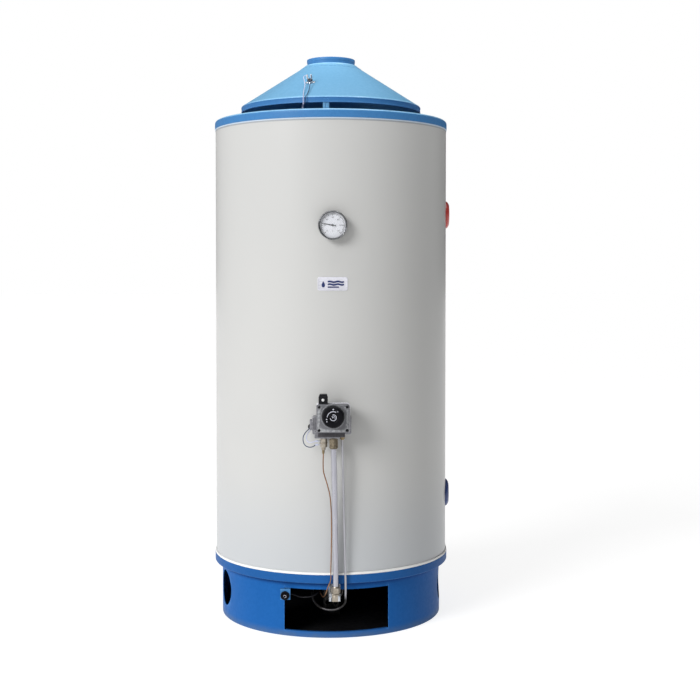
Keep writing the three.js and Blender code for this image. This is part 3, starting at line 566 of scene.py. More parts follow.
PEEL = ((620.0, 2.0, 0.10, 0.00012), (7.0, 2.0, 0.25, 0.0012, (1, 1, 0.35)))
MATS = {
    # On the blue paints the lighter blue edge tone is mostly a painted highlight along rounded edges, with a little
    # real edge wear.
    "skirt_blue": surface("skirt_blue", (0.010, 0.108, 0.365), (0.007, 0.092, 0.322), (0.42, 0.52), coat=0.02, coat_rough=0.25, spec=0.07,
                          bumps=PEEL, wear_and_highlight=(0.05, 0.20, 0.52), wear_and_highlight_amount=0.6, spots=(900.0, (0.016, 0.12, 0.39), 0.4),
                          # Skirt: greyer along its bottom edge, and a painted shadow of the trim ring that darkens it
                          # just below the ring.
                          foot_tone_and_shade=(0.0, 0.024, (0.078, 0.135, 0.24), 0.85), low_even=0.6, painted_shade_top=(0.157, 0.017, (0.003, 0.036, 0.165), 0.95)),
    "trim_blue": surface("trim_blue", (0.014, 0.100, 0.325), (0.011, 0.088, 0.288), (0.40, 0.50), coat=0.03, coat_rough=0.22, spec=0.08,
                         bumps=PEEL, wear_and_highlight=(0.10, 0.26, 0.56), wear_and_highlight_amount=0.7, spots=(900.0, (0.015, 0.11, 0.36), 0.4)),
    "hood_blue": surface("hood_blue", (0.154, 0.366, 0.570), (0.132, 0.332, 0.528), (0.36, 0.46), coat=0.10, coat_rough=0.25, spec=0.22,
                         bumps=PEEL, wear_and_highlight=(0.32, 0.62, 0.88), wear_and_highlight_amount=0.8, spots=(900.0, (0.13, 0.37, 0.62), 0.4)),
    # Jacket: its foot band is painted shade, darker and cooler below about half a metre.
    "jacket_white": surface("jacket_white", (0.540, 0.540, 0.529), (0.528, 0.529, 0.520), (0.30, 0.34), coat=0.07, coat_rough=0.18, spec=0.19,
                            broad=1.6, fine=9.0, share=0.15, bumps=((3.0, 1.0, 0.10, 0.0012, (1, 1, 0.18)),),
                            foot_tone_and_shade=(0.185, 0.32, (0.425, 0.458, 0.500), 0.50), low_even=0.97),
    "seal_white": surface("seal_white", (0.88, 0.88, 0.87), (0.80, 0.80, 0.78), (0.42, 0.55), fine=300.0,
                          bumps=((260.0, 3.0, 0.25, 0.0004),)),
    "tank_steel": surface("tank_steel", (0.075, 0.15, 0.22), (0.05, 0.11, 0.17), (0.45, 0.6), metal=0.2, bumps=((160.0, 4.0, 0.3, 0.0006),),
                          wear_and_highlight=(0.25, 0.27, 0.3)),
    "dark_steel": surface("dark_steel", (0.060, 0.058, 0.055), (0.030, 0.030, 0.031), (0.45, 0.7), metal=0.75, fine=60.0,
                          bumps=((220.0, 4.0, 0.3, 0.0004),), spots=(70.0, (0.10, 0.055, 0.03), 0.55), wear_and_highlight=(0.20, 0.19, 0.18), worn_rough=0.35),
    "zinc_steel": surface("zinc_steel", (0.58, 0.61, 0.66), (0.46, 0.49, 0.53), (0.24, 0.42), metal=0.85, fine=45.0,
                          bumps=((500.0, 3.0, 0.15, 0.0002),), wear_and_highlight=(0.75, 0.77, 0.8), spots=(160.0, (0.34, 0.36, 0.38), 0.5)),
    "glass_wool": surface("glass_wool", (0.70, 0.60, 0.24), (0.58, 0.46, 0.15), (0.85, 0.95), spec=0.2,
                          bumps=((90.0, 6.0, 0.9, 0.006), (700.0, 4.0, 0.8, 0.002, (1, 1, 4)))),
    "brass": surface("brass", (0.34, 0.265, 0.155), (0.20, 0.15, 0.080), (0.28, 0.44), metal=0.8, fine=70.0,
                     bumps=((420.0, 4.0, 0.2, 0.0003),), wear_and_highlight=(0.55, 0.46, 0.30), spots=(120.0, (0.11, 0.075, 0.04), 0.55)),
    # The tube's finish turns near-black below about 110 mm: painted shade inside the base.
    "aluminium_tube": surface("aluminium_tube", (0.47, 0.47, 0.52), (0.38, 0.38, 0.43), (0.26, 0.40), metal=0.75, fine=160.0,
                              stretch=(1, 1, 0.06), bumps=((900.0, 3.0, 0.2, 0.0002, (1, 1, 0.05)), (30.0, 2.0, 0.2, 0.0006)),
                              foot_tone_and_shade=(0.108, 0.022, (0.035, 0.030, 0.027), 1.0)),
    "copper_tube": surface("copper_tube", (0.40, 0.215, 0.115), (0.24, 0.12, 0.06), (0.28, 0.45), metal=0.85, fine=80.0,
                           bumps=((300.0, 4.0, 0.25, 0.0003),), spots=(90.0, (0.16, 0.075, 0.04), 0.6)),
    "black_plastic": surface("black_plastic", (0.0060, 0.0060, 0.0085), (0.0035, 0.0035, 0.0055), (0.34, 0.46), spec=0.22, fine=400.0,
                             bumps=((1400.0, 3.0, 0.25, 0.0002),), wear_and_highlight=(0.035, 0.035, 0.045), wear_and_highlight_amount=0.4, spots=(900.0, (0.012, 0.012, 0.016), 0.4)),
    "white_plastic": surface("white_plastic", (0.80, 0.80, 0.80), (0.70, 0.70, 0.70), (0.30, 0.42), fine=300.0,
                             bumps=((900.0, 3.0, 0.15, 0.0002),)),
    "red_plastic": surface("red_plastic", (0.56, 0.050, 0.040), (0.44, 0.035, 0.030), (0.32, 0.45), coat=0.2, fine=200.0,
                           bumps=((800.0, 3.0, 0.2, 0.0002),), wear_and_highlight=(0.66, 0.16, 0.13), wear_and_highlight_amount=0.5),
    "blue_plastic": surface("blue_plastic", (0.016, 0.045, 0.20), (0.011, 0.032, 0.15), (0.32, 0.45), coat=0.2, fine=200.0,
                            bumps=((800.0, 3.0, 0.2, 0.0002),), wear_and_highlight=(0.07, 0.13, 0.33), wear_and_highlight_amount=0.5),
    "cover_grey": surface("cover_grey", (0.158, 0.160, 0.174), (0.130, 0.131, 0.144), (0.30, 0.42), metal=0.15, coat=0.08, coat_rough=0.3, spec=0.30,
                          fine=350.0, bumps=((1100.0, 3.0, 0.3, 0.0002),), wear_and_highlight=(0.55, 0.57, 0.58), wear_and_highlight_amount=0.6),
    "valve_casting": surface("valve_casting", (0.27, 0.27, 0.29), (0.16, 0.16, 0.18), (0.36, 0.52), metal=0.65, fine=240.0,
                             bumps=((700.0, 4.0, 0.5, 0.0004), (60.0, 2.0, 0.2, 0.0008)), wear_and_highlight=(0.52, 0.53, 0.54), wear_and_highlight_amount=0.6),
    "dial_white": surface("dial_white", (0.80, 0.80, 0.85), (0.745, 0.745, 0.795), (0.45, 0.55), fine=500.0, bumps=((1600.0, 2.0, 0.1, 0.0001),)),
    "badge_enamel": surface("badge_enamel", (0.72, 0.72, 0.79), (0.67, 0.67, 0.74), (0.24, 0.34), metal=0.15, coat=0.3, fine=300.0,
                            stretch=(0.2, 1, 1), bumps=((900.0, 3.0, 0.08, 0.0001, (0.05, 1, 1)),)),
    "magnesium": surface("magnesium", (0.42, 0.43, 0.44), (0.30, 0.31, 0.32), (0.5, 0.7), metal=0.6, bumps=((180.0, 5.0, 0.5, 0.0008),)),
    "ceramic": surface("ceramic", (0.84, 0.82, 0.77), (0.74, 0.71, 0.65), (0.25, 0.38), coat=0.3, fine=160.0, bumps=((500.0, 3.0, 0.15, 0.0002),)),
    "lead_dark": surface("lead_dark", (0.035, 0.060, 0.120), (0.022, 0.040, 0.090), (0.35, 0.5), fine=300.0, bumps=((600.0, 3.0, 0.2, 0.0002),)),
    "lead_light": surface("lead_light", (0.58, 0.60, 0.74), (0.46, 0.49, 0.66), (0.32, 0.48), fine=300.0, bumps=((600.0, 3.0, 0.2, 0.0002),)),
    "thermostat_case": surface("thermostat_case", (0.045, 0.050, 0.065), (0.030, 0.034, 0.045), (0.32, 0.48), fine=300.0,
                               bumps=((900.0, 3.0, 0.25, 0.0002),), wear_and_highlight=(0.16, 0.17, 0.2)),
}
# Lighter copy of the trim paint for the lid, hood rim, collar, hood welds and igniter bracket: the added lightness is
# painted light.
LIT_TRIM_BLUE = surface("lit_trim_blue", (0.056, 0.203, 0.452), (0.047, 0.178, 0.408), (0.36, 0.46), coat=0.06, coat_rough=0.22, spec=0.15,
                   bumps=PEEL, wear_and_highlight=(0.16, 0.40, 0.70), wear_and_highlight_amount=0.7, spots=(900.0, (0.05, 0.22, 0.48), 0.4))
# Light blue for thin rings along rounded edges: painted highlights.
PAINTED_HIGHLIGHT_BLUE = surface("painted_highlight_blue", (0.25, 0.52, 0.76), (0.20, 0.45, 0.68), (0.30, 0.40), coat=0.2, coat_rough=0.2, spec=0.3,
                    bumps=PEEL, wear_and_highlight=(0.45, 0.75, 0.92), wear_and_highlight_amount=0.5)
# Grey for a thin line on the jacket under the top seal: a painted shadow.
PAINTED_SHADOW_GREY = surface("painted_shadow_grey", (0.37, 0.385, 0.41), (0.33, 0.345, 0.37), (0.5, 0.6), fine=300.0, bumps=((260.0, 3.0, 0.25, 0.0004),))
# Blue-grey tone of the top seal, brightened and tinted to stand for a painted highlight under the lid's rim.
SEAL_AND_HIGHLIGHT = surface("seal_and_highlight", (0.55, 0.64, 0.74), (0.49, 0.58, 0.68), (0.42, 0.55), fine=300.0, bumps=((260.0, 3.0, 0.25, 0.0004),))
SOOT = surface("soot_black", (0.010, 0.010, 0.011), (0.005, 0.005, 0.006), (0.75, 0.92), spec=0.06, fine=60.0,
               bumps=((220.0, 4.0, 0.3, 0.0004),), spots=(70.0, (0.016, 0.011, 0.008), 0.5))
# Dark grey for a slab under the gas control: painted shade.
PAINTED_SHADE_GREY = surface("painted_shade_grey", (0.072, 0.069, 0.074), (0.046, 0.044, 0.049), (0.42, 0.58), metal=0.3, spec=0.25, fine=240.0,
                    bumps=((700.0, 4.0, 0.4, 0.0003),), wear_and_highlight=(0.30, 0.30, 0.32), wear_and_highlight_amount=0.5)
KNOB_BLACK = surface("knob_black", (0.0045, 0.0045, 0.0065), (0.0028, 0.0028, 0.0042), (0.36, 0.48), spec=0.10, fine=400.0,
                     bumps=((1400.0, 3.0, 0.25, 0.0002),), spots=(900.0, (0.008, 0.008, 0.011), 0.4))
NUT_BRASS = surface("dark_brass", (0.125, 0.103, 0.070), (0.072, 0.057, 0.039), (0.30, 0.46), metal=0.75, fine=70.0,
                    bumps=((420.0, 4.0, 0.2, 0.0003),), wear_and_highlight=(0.32, 0.27, 0.19), spots=(120.0, (0.05, 0.038, 0.024), 0.55))
# The pilot tube's finish turns near-black below about 112 mm: painted shade inside the base.
PILOT_ALU = surface("pilot_tube_dull", (0.45, 0.45, 0.48), (0.36, 0.36, 0.39), (0.30, 0.44), metal=0.7, spec=0.08, fine=160.0, stretch=(1, 1, 0.06),
                    bumps=((900.0, 3.0, 0.2, 0.0002, (1, 1, 0.05)), (30.0, 2.0, 0.2, 0.0006)),
                    foot_tone_and_shade=(0.112, 0.022, (0.016, 0.014, 0.013), 1.0), low_even=0.9)
# finishes that share a slot with the ones above but read differently on one small piece
CHROME = surface("bright_ring", (0.22, 0.225, 0.235), (0.15, 0.155, 0.165), (0.20, 0.30), metal=0.85, fine=120.0, bumps=((500.0, 3.0, 0.1, 0.0001),),
                 wear_and_highlight=(0.45, 0.46, 0.47))
BRIGHT = surface("bright_cap", (0.80, 0.81, 0.83), (0.70, 0.71, 0.74), (0.16, 0.28), metal=0.9, fine=120.0, bumps=((500.0, 3.0, 0.1, 0.0001),))
# Near-white tone for the plate between valve body and cover: a painted highlight along the cover's top edge.
PAINTED_HIGHLIGHT_CAST = surface("painted_highlight_cast", (0.78, 0.78, 0.83), (0.66, 0.66, 0.72), (0.24, 0.36), metal=0.3, fine=200.0, bumps=((600.0, 4.0, 0.2, 0.0002),))
DULL_NICKEL = surface("dull_nickel", (0.42, 0.375, 0.315), (0.30, 0.26, 0.205), (0.28, 0.42), metal=0.75, fine=90.0, bumps=((420.0, 4.0, 0.2, 0.0003),),
                      wear_and_highlight=(0.60, 0.55, 0.47), spots=(120.0, (0.16, 0.13, 0.09), 0.5))
INK = surface("ink_navy", (0.012, 0.026, 0.13), (0.008, 0.018, 0.10), (0.35, 0.45), fine=300.0, bumps=((900.0, 2.0, 0.1, 0.0001),))
INK_DARK = surface("ink_dark", (0.020, 0.021, 0.026), (0.013, 0.014, 0.018), (0.4, 0.5), fine=300.0, bumps=((900.0, 2.0, 0.1, 0.0001),))
PRINT = surface("print_white", (0.55, 0.56, 0.63), (0.42, 0.43, 0.50), (0.4, 0.5), fine=500.0, bumps=((1200.0, 2.0, 0.2, 0.0001),))
SCREW = surface("black_screw", (0.018, 0.018, 0.024), (0.009, 0.010, 0.014), (0.25, 0.4), metal=0.8, fine=300.0, bumps=((700.0, 3.0, 0.2, 0.0002),),
                wear_and_highlight=(0.18, 0.18, 0.19))


def glass_material():
    m = Mat("glass")
    n = m.noise(60, 3, 0.5)
    m.put(m.b.inputs["Base Color"], m.mix(n, (0.90, 0.94, 0.96), (0.82, 0.87, 0.90)))
    m.put(m.b.inputs["Roughness"], m.span(n, 0.3, 0.7, 0.03, 0.08))
    m.b.inputs["Alpha"].default_value = 0.10
    m.b.inputs["Specular IOR Level"].default_value = 0.5
    m.put(m.b.inputs["Normal"], m.bump(m.noise(14, 2, 0.5), 0.05, 0.0005))
    return m.m


MATS["glass"] = glass_material()


# ================================================================ making pieces
def wear_attribute(me):
    """Convex curvature of each vertex, 1 where an edge is rounder than about 2 mm radius."""
    bm = bmesh.new()
    bm.from_mesh(me)
    layer = bm.verts.layers.float.new("wear")
    for e in bm.edges:
        if len(e.link_faces) != 2:
            continue
        a = e.calc_face_angle_signed(0.0)
        if a <= 0.05:
            continue
        gap = (e.link_faces[0].calc_center_median() - e.link_faces[1].calc_center_median()).length * 1000
        k = min(1.0, a / max(gap, 0.05) * 1.6) if gap < 12 else min(1.0, a / 1.2)
        for v in e.verts:
            v[layer] = max(v[layer], k)
    bm.to_mesh(me)
    bm.free()


def piece(name, g, material, body="casing", replaces=(), sharp=38, radial=None, wear=True):
    o = _object(g, 0.001)
    me = o.data
    o.name = "vis_" + name
    me.name = "vis_" + name
    if wear:
        wear_attribute(me)
    me.polygons.foreach_set("use_smooth", [True] * len(me.polygons))
    me.set_sharp_from_angle(angle=rad(sharp))
    if radial:
        normals = [Vector(c.vector) for c in me.corner_normals]
        co = [v.co for v in me.vertices]
        for p in me.polygons:
            for R in radial:
                if all(abs(math.hypot(co[i].x, co[i].y) - abs(R) / 1000) < 2e-5 for i in p.vertices) and abs(p.normal.z) < 0.05:
                    for li in p.loop_indices:
                        c = co[me.loops[li].vertex_index]
                        d = Vector((c.x, c.y, 0)).normalized()
                        normals[li] = d if p.normal.dot(d) > 0 else -d
        me.normals_split_custom_set([tuple(n) for n in normals])
    mat = MATS[material] if isinstance(material, str) else material
    me.materials.append(mat)
    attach(o, body)
    if replaces:
        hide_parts(*([replaces] if isinstance(replaces, str) else replaces))
    return o


_screws = {}


def screw(r, kind="cross", head=0.42, shank=0.0):
    """A pan head screw facing +Z with its seat at 0."""
    key = (round(r, 2), kind, head)
    if key not in _screws:
        h = r * 2 * head
        g = lathe([(0, -shank), (r, -shank), (r, h * 0.25, r * 0.15), (r * 0.86, h * 0.8, r * 0.4), (r * 0.3, h), (0, h)], 32, 4, False)
        w = r * 0.17
        tools = [box(-r * 0.62, r * 0.62, -w, w, h * 0.45, h * 2)]
        if kind == "cross":
            tools.append(box(-w, w, -r * 0.62, r * 0.62, h * 0.45, h * 2))
        _screws[key] = cut(g, *tools)
    return _screws[key]


def front_screw(x, y, z, r, kind="cross", turn=20):
    return screw(r, kind).rz(turn).rx(90).move(x, y, z)


def radial_at(g, r, az, z):
    """A shape drawn facing +Z at the origin, put on a round wall facing out; its +Y becomes up."""
    return g.rx(90).move(0, -r, z).rz(az)


# ---------------------------------------------------------------- base
ringN = BIG


def skirt():
    g = lathe([(320, 0, 0.6), (R_SKIRT, 0, 1.6), (R_SKIRT, SKIRT_TOP, 0.4), (R_SKIRT - SKIRT_T, SKIRT_TOP, 0.4),
               (R_SKIRT - SKIRT_T, 2, 0.6), (320, 2, 0.6)], ringN, 3)
    o = OPENING
    outline = []
    r = 2.2
    raz = math.degrees(r / R_SKIRT)
    for ca, cz, a0 in ((o["a1"] - raz, o["z0"] + r, -90), (o["a1"] - raz, o["z1"] - r, 0), (o["a0"] + raz, o["z1"] - r, 90), (o["a0"] + raz, o["z0"] + r, 180)):
        for k in range(5):
            a = rad(a0 + 90 * k / 4)
            outline.append((ca + raz * math.cos(a), cz + r * math.sin(a)))
    # long edges follow the round wall
    dense = []
    for (a, z), (a2, z2) in zip(outline, outline[1:] + outline[:1]):
        k = max(1, int(abs(a2 - a) / 2))
        dense += [(a + (a2 - a) * i / k, z + (z2 - z) * i / k) for i in range(k)]
    tool = loft([[at(318, a, z) for a, z in dense], [at(400, a, z) for a, z in dense]])
    holes = [along(lathe([(0, 0), (AIR_R, 0), (AIR_R, 90), (0, 90)], 72), at(290, az, AIR_Z), at(1, az, 0)) for az in AIR_HOLES]
    g = cut(g, tool, *holes)
    return piece("base_skirt", g, "skirt_blue", replaces="base_skirt", radial=(R_SKIRT, R_SKIRT - SKIRT_T))


skirt()

# turned-in safety edge of the opening and a rear weld seam
lip = []
for z0, z1 in ((OPENING["z0"] - 1.1, OPENING["z0"]),):
    arc = [at(R_SKIRT - 2.4, a, 0) for a in np.linspace(OPENING["a0"] + 0.4, OPENING["a1"] - 0.4, 40)]
    arc2 = [at(R_SKIRT - 9.0, a, 0) for a in np.linspace(OPENING["a0"] + 0.4, OPENING["a1"] - 0.4, 40)]
    rings = [[(a[0], a[1], z0), (b[0], b[1], z0), (b[0], b[1], z1), (a[0], a[1], z1)] for a, b in zip(arc, arc2)]
    lip.append(loft(rings))
piece("opening_lip", merge(lip), "skirt_blue")

seam = loft([[at(R_SKIRT + 0.05, a, z) for a in (178.9, 179.4, 180.6, 181.1)] + [at(R_SKIRT + e, a, z) for a, e in ((180.9, 0.35), (180.4, 0.75), (179.6, 0.75), (179.1, 0.35))]
             for z in np.linspace(3, 157, 40)])
piece("skirt_seam", seam, "skirt_blue")

piece("floor_plate", lathe([(0, 0.0), (319.5, 0.0, 0.3), (319.5, 2.0, 0.4), (306, 2.0, 0.4), (303.5, 1.1, 0.5), (296.5, 1.1, 0.5), (294, 2.0, 0.4),
                            (156, 2.0, 0.4), (153.5, 1.1, 0.5), (146.5, 1.1, 0.5), (144, 2.0, 0.4), (0, 2.0)], 160, 2, False),
      SOOT, replaces="floor_plate")

piece("trim_ring", lathe([(292, RING_Z0, 0.5), (R_RING, RING_Z0, 2.6), (R_RING, RING_Z1, 1.3), (R_RING - 3.5, RING_Z1, 0.8),
                          (R_RING - 3.5, RING_Z0 + 2.5, 0.8), (292, RING_Z0 + 2.5, 0.5)], ringN, 5), "trim_blue", replaces="bottom_trim_ring")
piece("bottom_seal", lathe([(R_JACKET + GAP, RING_Z1 + GAP), (R_RING - 0.4, RING_Z1 + GAP, 1.0), (R_RING - 0.5, 188.6, 2.2), (R_JACKET + 1.6, 190.0, 1.0),
                            (R_JACKET + GAP, 190.0)], ringN, 4), "seal_white", replaces="bottom_seal")
ring_rivets = [radial_at(lathe([(0, 0), (4.2, 0), (3.9, 0.9, 0.6), (2.2, 1.7, 0.8), (0, 1.8)], 20, 3, False), R_SKIRT - 0.1, az, 151)
               for az in (45, 75, 105, 135, 165, 195, 225, 255, 285, 312)]
piece("skirt_rivets", merge(ring_rivets), "skirt_blue")


# ---------------------------------------------------------------- jacket
def radial_hole(az, z, r, n=48, r0=335, r1=366):
    return along(lathe([(0, 0), (r, 0), (r, r1 - r0), (0, r1 - r0)], n), at(r0, az, z), at(1, az, 0))


def jacket():
    g = lathe([(R_JACKET - JACKET_T, JACKET_Z0), (R_JACKET, JACKET_Z0), (R_JACKET, 400), (R_JACKET, 700), (R_JACKET, 1000), (R_JACKET, 1300),
               (R_JACKET, JACKET_Z1), (R_JACKET - JACKET_T, JACKET_Z1)], 288)
    g = cut(g, radial_hole(0, THERMO_Z, 15), radial_hole(0, VALVE_Z, 19), radial_hole(WIRE_AZ, WIRE_Z, 6, 32),
            radial_hole(PORT_AZ, HOT_Z, 22), radial_hole(PORT_AZ, COLD_Z, 22), radial_hole(180, DRAIN_Z, 16))
    piece("jacket", g, "jacket_white", replaces="jacket", radial=(R_JACKET, R_JACKET - JACKET_T), wear=False)


jacket()
# lapped seam down the back, with blind rivets
lap_a = [(176.6, 0.0), (176.72, 0.9), (177.05, 1.5), (182.95, 1.5), (183.28, 0.9), (183.4, 0.0)]
lap = loft([[at(R_JACKET + 0.02 + e, a, z) for a, e in lap_a] + [at(R_JACKET - 0.4, a, z) for a in (183.4, 180.0, 176.6)] for z in (191.0, 240, 262, 288, 600, 1000, 1400, 1455.5)])
lap = cut(lap, radial_hole(180, DRAIN_Z, 21))
piece("jacket_lap", lap, "jacket_white")
rivet = lathe([(0, -0.5), (3.4, -0.5), (3.3, 0.7, 0.4), (2.2, 1.3, 0.4), (1.1, 1.3, 0.2), (1.0, 0.8), (0, 0.8)], 20, 3, False)
piece("jacket_rivets", merge([radial_at(rivet, R_JACKET + 1.5, 178.1, z) for z in (210, 330, 455, 580, 705, 830, 955, 1080, 1205, 1330, 1435)]),
      "zinc_steel")
# The top seal's blue-grey tone is partly a painted highlight under the lid.
piece("top_seal", lathe([(R_JACKET + GAP, 1456.4), (R_JACKET + 1.3, 1456.4, 0.5), (R_JACKET + 1.5, 1459.7, 0.3), (R_JACKET + GAP, 1459.7)], ringN, 3),
      SEAL_AND_HIGHLIGHT, replaces="top_seal")
# Grey line just under the top seal: a painted shadow.
piece("top_seal_painted_shadow", lathe([(R_JACKET + 0.05, 1452.4), (R_JACKET + 0.3, 1452.5, 0.1), (R_JACKET + 0.5, 1456.3, 0.1), (R_JACKET + 0.05, 1456.3)], ringN, 3), PAINTED_SHADOW_GREY)
# rubber ring of the wire hole
piece("wire_grommet", radial_at(lathe([(3.6, -2.0), (5.6, -2.0), (5.6, 0.15), (8.4, 0.15, 0.4), (8.0, 1.5, 0.7), (4.4, 1.8, 0.7), (3.6, 1.2, 0.4)], 36, 4, False),
                                R_JACKET, WIRE_AZ, WIRE_Z), "black_plastic")

# ---------------------------------------------------------------- lid
anode_x, anode_y, _ = at(ANODE[0], ANODE[1], 0)
lid = lathe([(R_LID, LID_Z0, 0.4), (R_LID, LID_TOP, 8.5), (318, LID_TOP, 1.0), (315.5, LID_TOP - 0.9, 1.0), (311.5, LID_TOP - 0.9, 1.0), (309, LID_TOP, 1.0),
             (58.5, LID_TOP, 0.4), (58.5, LID_TOP - 2, 0.3), (308, LID_TOP - 2.4), (311, LID_TOP - 3), (316, LID_TOP - 3), (319, LID_TOP - 2.4),
             (R_JACKET + GAP, LID_TOP - 2, 6.8), (R_JACKET + GAP, LID_Z0, 0.3)], ringN, 5)
lid = cut(lid, rod((anode_x, anode_y, 1470), (anode_x, anode_y, 1500), 15, 40, 0), rod((*GROMMET, 1470), (*GROMMET, 1500), 6, 32, 0))
piece("top_lid", lid, LIT_TRIM_BLUE, replaces="top_lid", radial=(R_LID,))
# Thin light blue ring over the lid's rounded top edge: a painted highlight.
c_r, c_z = R_LID - 8.5, LID_TOP - 8.5
edge = [(c_r + 8.62 * math.cos(rad(a)), c_z + 8.62 * math.sin(rad(a))) for a in (30, 40, 50, 60, 70, 80)]
edge += [(c_r + 8.3 * math.cos(rad(a)), c_z + 8.3 * math.sin(rad(a))) for a in (80, 70, 60, 50, 40, 30)]
piece("lid_edge_highlight", lathe(edge, ringN, 3), PAINTED_HIGHLIGHT_BLUE)
lid_seam = loft([[(x, y, LID_TOP - 0.2), (x, y, LID_TOP + 0.45), (x + 3, y, LID_TOP + 0.7), (x + 15, y, LID_TOP + 0.7), (x + 15.4, y, LID_TOP - 0.2)]
                 for x, y in [(-7.5, float(v)) for v in np.linspace(76, 306, 24)]])
piece("lid_lap", lid_seam, LIT_TRIM_BLUE)
lid_screws = [screw(5.0).rz(az).rx(90).move(0, -(R_LID - 0.2), 1468).rz(az) for az in (40, 100, 160, 200, 260, 320)]
piece("lid_screws", merge([s for s, az in zip(lid_screws, (40, 100, 160, 200, 260, 320)) if az not in (40, 320)]), "zinc_steel")
piece("lid_grommet", lathe([(3.4, -2.4), (5.6, -2.4), (5.6, 0.1), (8.8, 0.1, 0.4), (8.3, 1.7, 0.8), (4.4, 2.1, 0.8), (3.4, 1.4, 0.4)], 36, 4, False)
      .move(GROMMET[0], GROMMET[1], LID_TOP), "black_plastic")

# ---------------------------------------------------------------- draft hood
SLOPE = (HOOD_TOP - BAND_TOP) / (R_HOOD - (R_COLLAR + 0.2))
CONE_TILT = math.degrees(math.atan(SLOPE))


def hood_z(r):
    return BAND_TOP + (R_HOOD - r) * SLOPE


drop = 1.4 * math.hypot(1, SLOPE)
cone = lathe([(R_HOOD - 0.2, BAND_TOP - 0.6, 0.5), (R_HOOD - 0.2, BAND_TOP + 0.15, 1.4), (R_COLLAR + 0.2, HOOD_TOP, 0.5),
              (R_COLLAR + 0.2 - 1.4, HOOD_TOP, 0.4), (R_HOOD - 2.2, hood_z(R_HOOD - 2.2) - drop, 0.5), (R_HOOD - 2.2, BAND_TOP - 0.6, 0.3)], 192, 4)
piece("hood_cone", cone, "hood_blue", replaces="hood_cone")
# rim band with a rolled foot; the cone's edge is folded over its top
band = lathe([(R_HOOD - 2.0, HOOD_Z0 + 0.2, 0.9), (R_HOOD, HOOD_Z0, 1.0), (R_HOOD, HOOD_Z0 + 3.0, 0.6), (R_HOOD - 0.7, HOOD_Z0 + 3.8, 0.5),
              (R_HOOD - 0.7, BAND_TOP - 3.4, 0.5), (R_HOOD, BAND_TOP - 2.6, 0.5), (R_HOOD, BAND_TOP - 0.6, 0.5), (R_HOOD - 2.0, BAND_TOP - 0.6, 0.4)], 192, 3)
piece("hood_rim", band, LIT_TRIM_BLUE, replaces="hood_cone")
# lapped seam of the cone at the back
lap_cone = []
for k in range(25):
    r = R_HOOD - 3 - (R_HOOD - 3 - (R_COLLAR + 14)) * k / 24
    z = hood_z(r)
    half = math.degrees(6.5 / r)
    ring_pts = []
    for a, e in ((180 - half, -0.3), (180 - half, 0.5), (180 - half * 0.8, 0.8), (180 + half * 0.8, 0.8), (180 + half, 0.5), (180 + half, -0.3)):
        ring_pts.append(at(r + e * 0.54, a, z + e * 0.84))
    lap_cone.append(ring_pts)
piece("hood_lap", loft(lap_cone), "hood_blue")
# flange of the flue collar lying on the cone
r_f = R_COLLAR + 19.0
piece("collar_flange", lathe([(R_COLLAR + 0.6, hood_z(R_COLLAR + 0.6) + 0.05), (r_f, hood_z(r_f) + 0.05, 0.2), (r_f + 0.5, hood_z(r_f) + 0.85, 0.4),
                              (R_COLLAR + 5, hood_z(R_COLLAR + 5) + 1.2, 2.0), (R_COLLAR + 0.2, HOOD_TOP + 0.9, 0.5), (R_COLLAR - 0.6, HOOD_TOP + 0.1)], 144, 4),
      "hood_blue")
# Light blue bead at the foot of the collar: a painted highlight.
r_b = R_COLLAR + 6.0
piece("collar_highlight_bead", lathe([(r_b - 3.4, hood_z(r_b - 3.4) + 0.9), (r_b - 2.6, hood_z(r_b - 2.6) + 2.3, 0.9), (r_b + 1.6, hood_z(r_b + 1.6) + 2.3, 0.9), (r_b + 2.6, hood_z(r_b + 2.6) + 0.9)],
                           144, 4), PAINTED_HIGHLIGHT_BLUE)
# Light blue ring folded over the cone's edge: a painted highlight.
r_e = R_HOOD - 1.4
piece("hood_fold_highlight", lathe([(r_e - 3.6, hood_z(r_e - 3.6) - 0.3), (r_e - 3.2, hood_z(r_e - 3.2) + 0.55, 0.4), (R_HOOD - 1.2, hood_z(R_HOOD - 1.2) + 0.5, 0.8), (R_HOOD - 0.05, BAND_TOP - 0.3, 0.5),
                          (R_HOOD - 0.05, BAND_TOP - 1.6, 0.3), (R_HOOD - 1.2, BAND_TOP - 1.8)], 192, 4), PAINTED_HIGHLIGHT_BLUE)
piece("flue_collar", lathe([(R_COLLAR - 2.0, HOOD_TOP + GAP, 0.3), (R_COLLAR - 1.0, HOOD_TOP + GAP, 0.3), (R_COLLAR - 1.0, HOOD_TOP + 8.2, 0.6),
                            (R_COLLAR, HOOD_TOP + 9.8, 1.0), (R_COLLAR, HEIGHT, 1.4), (R_COLLAR - 2.4, HEIGHT, 0.9), (R_COLLAR - 2.4, HEIGHT - 3, 0.6),
                            (R_COLLAR - 2.0, HEIGHT - 4)], 144, 4), LIT_TRIM_BLUE, replaces="flue_collar")
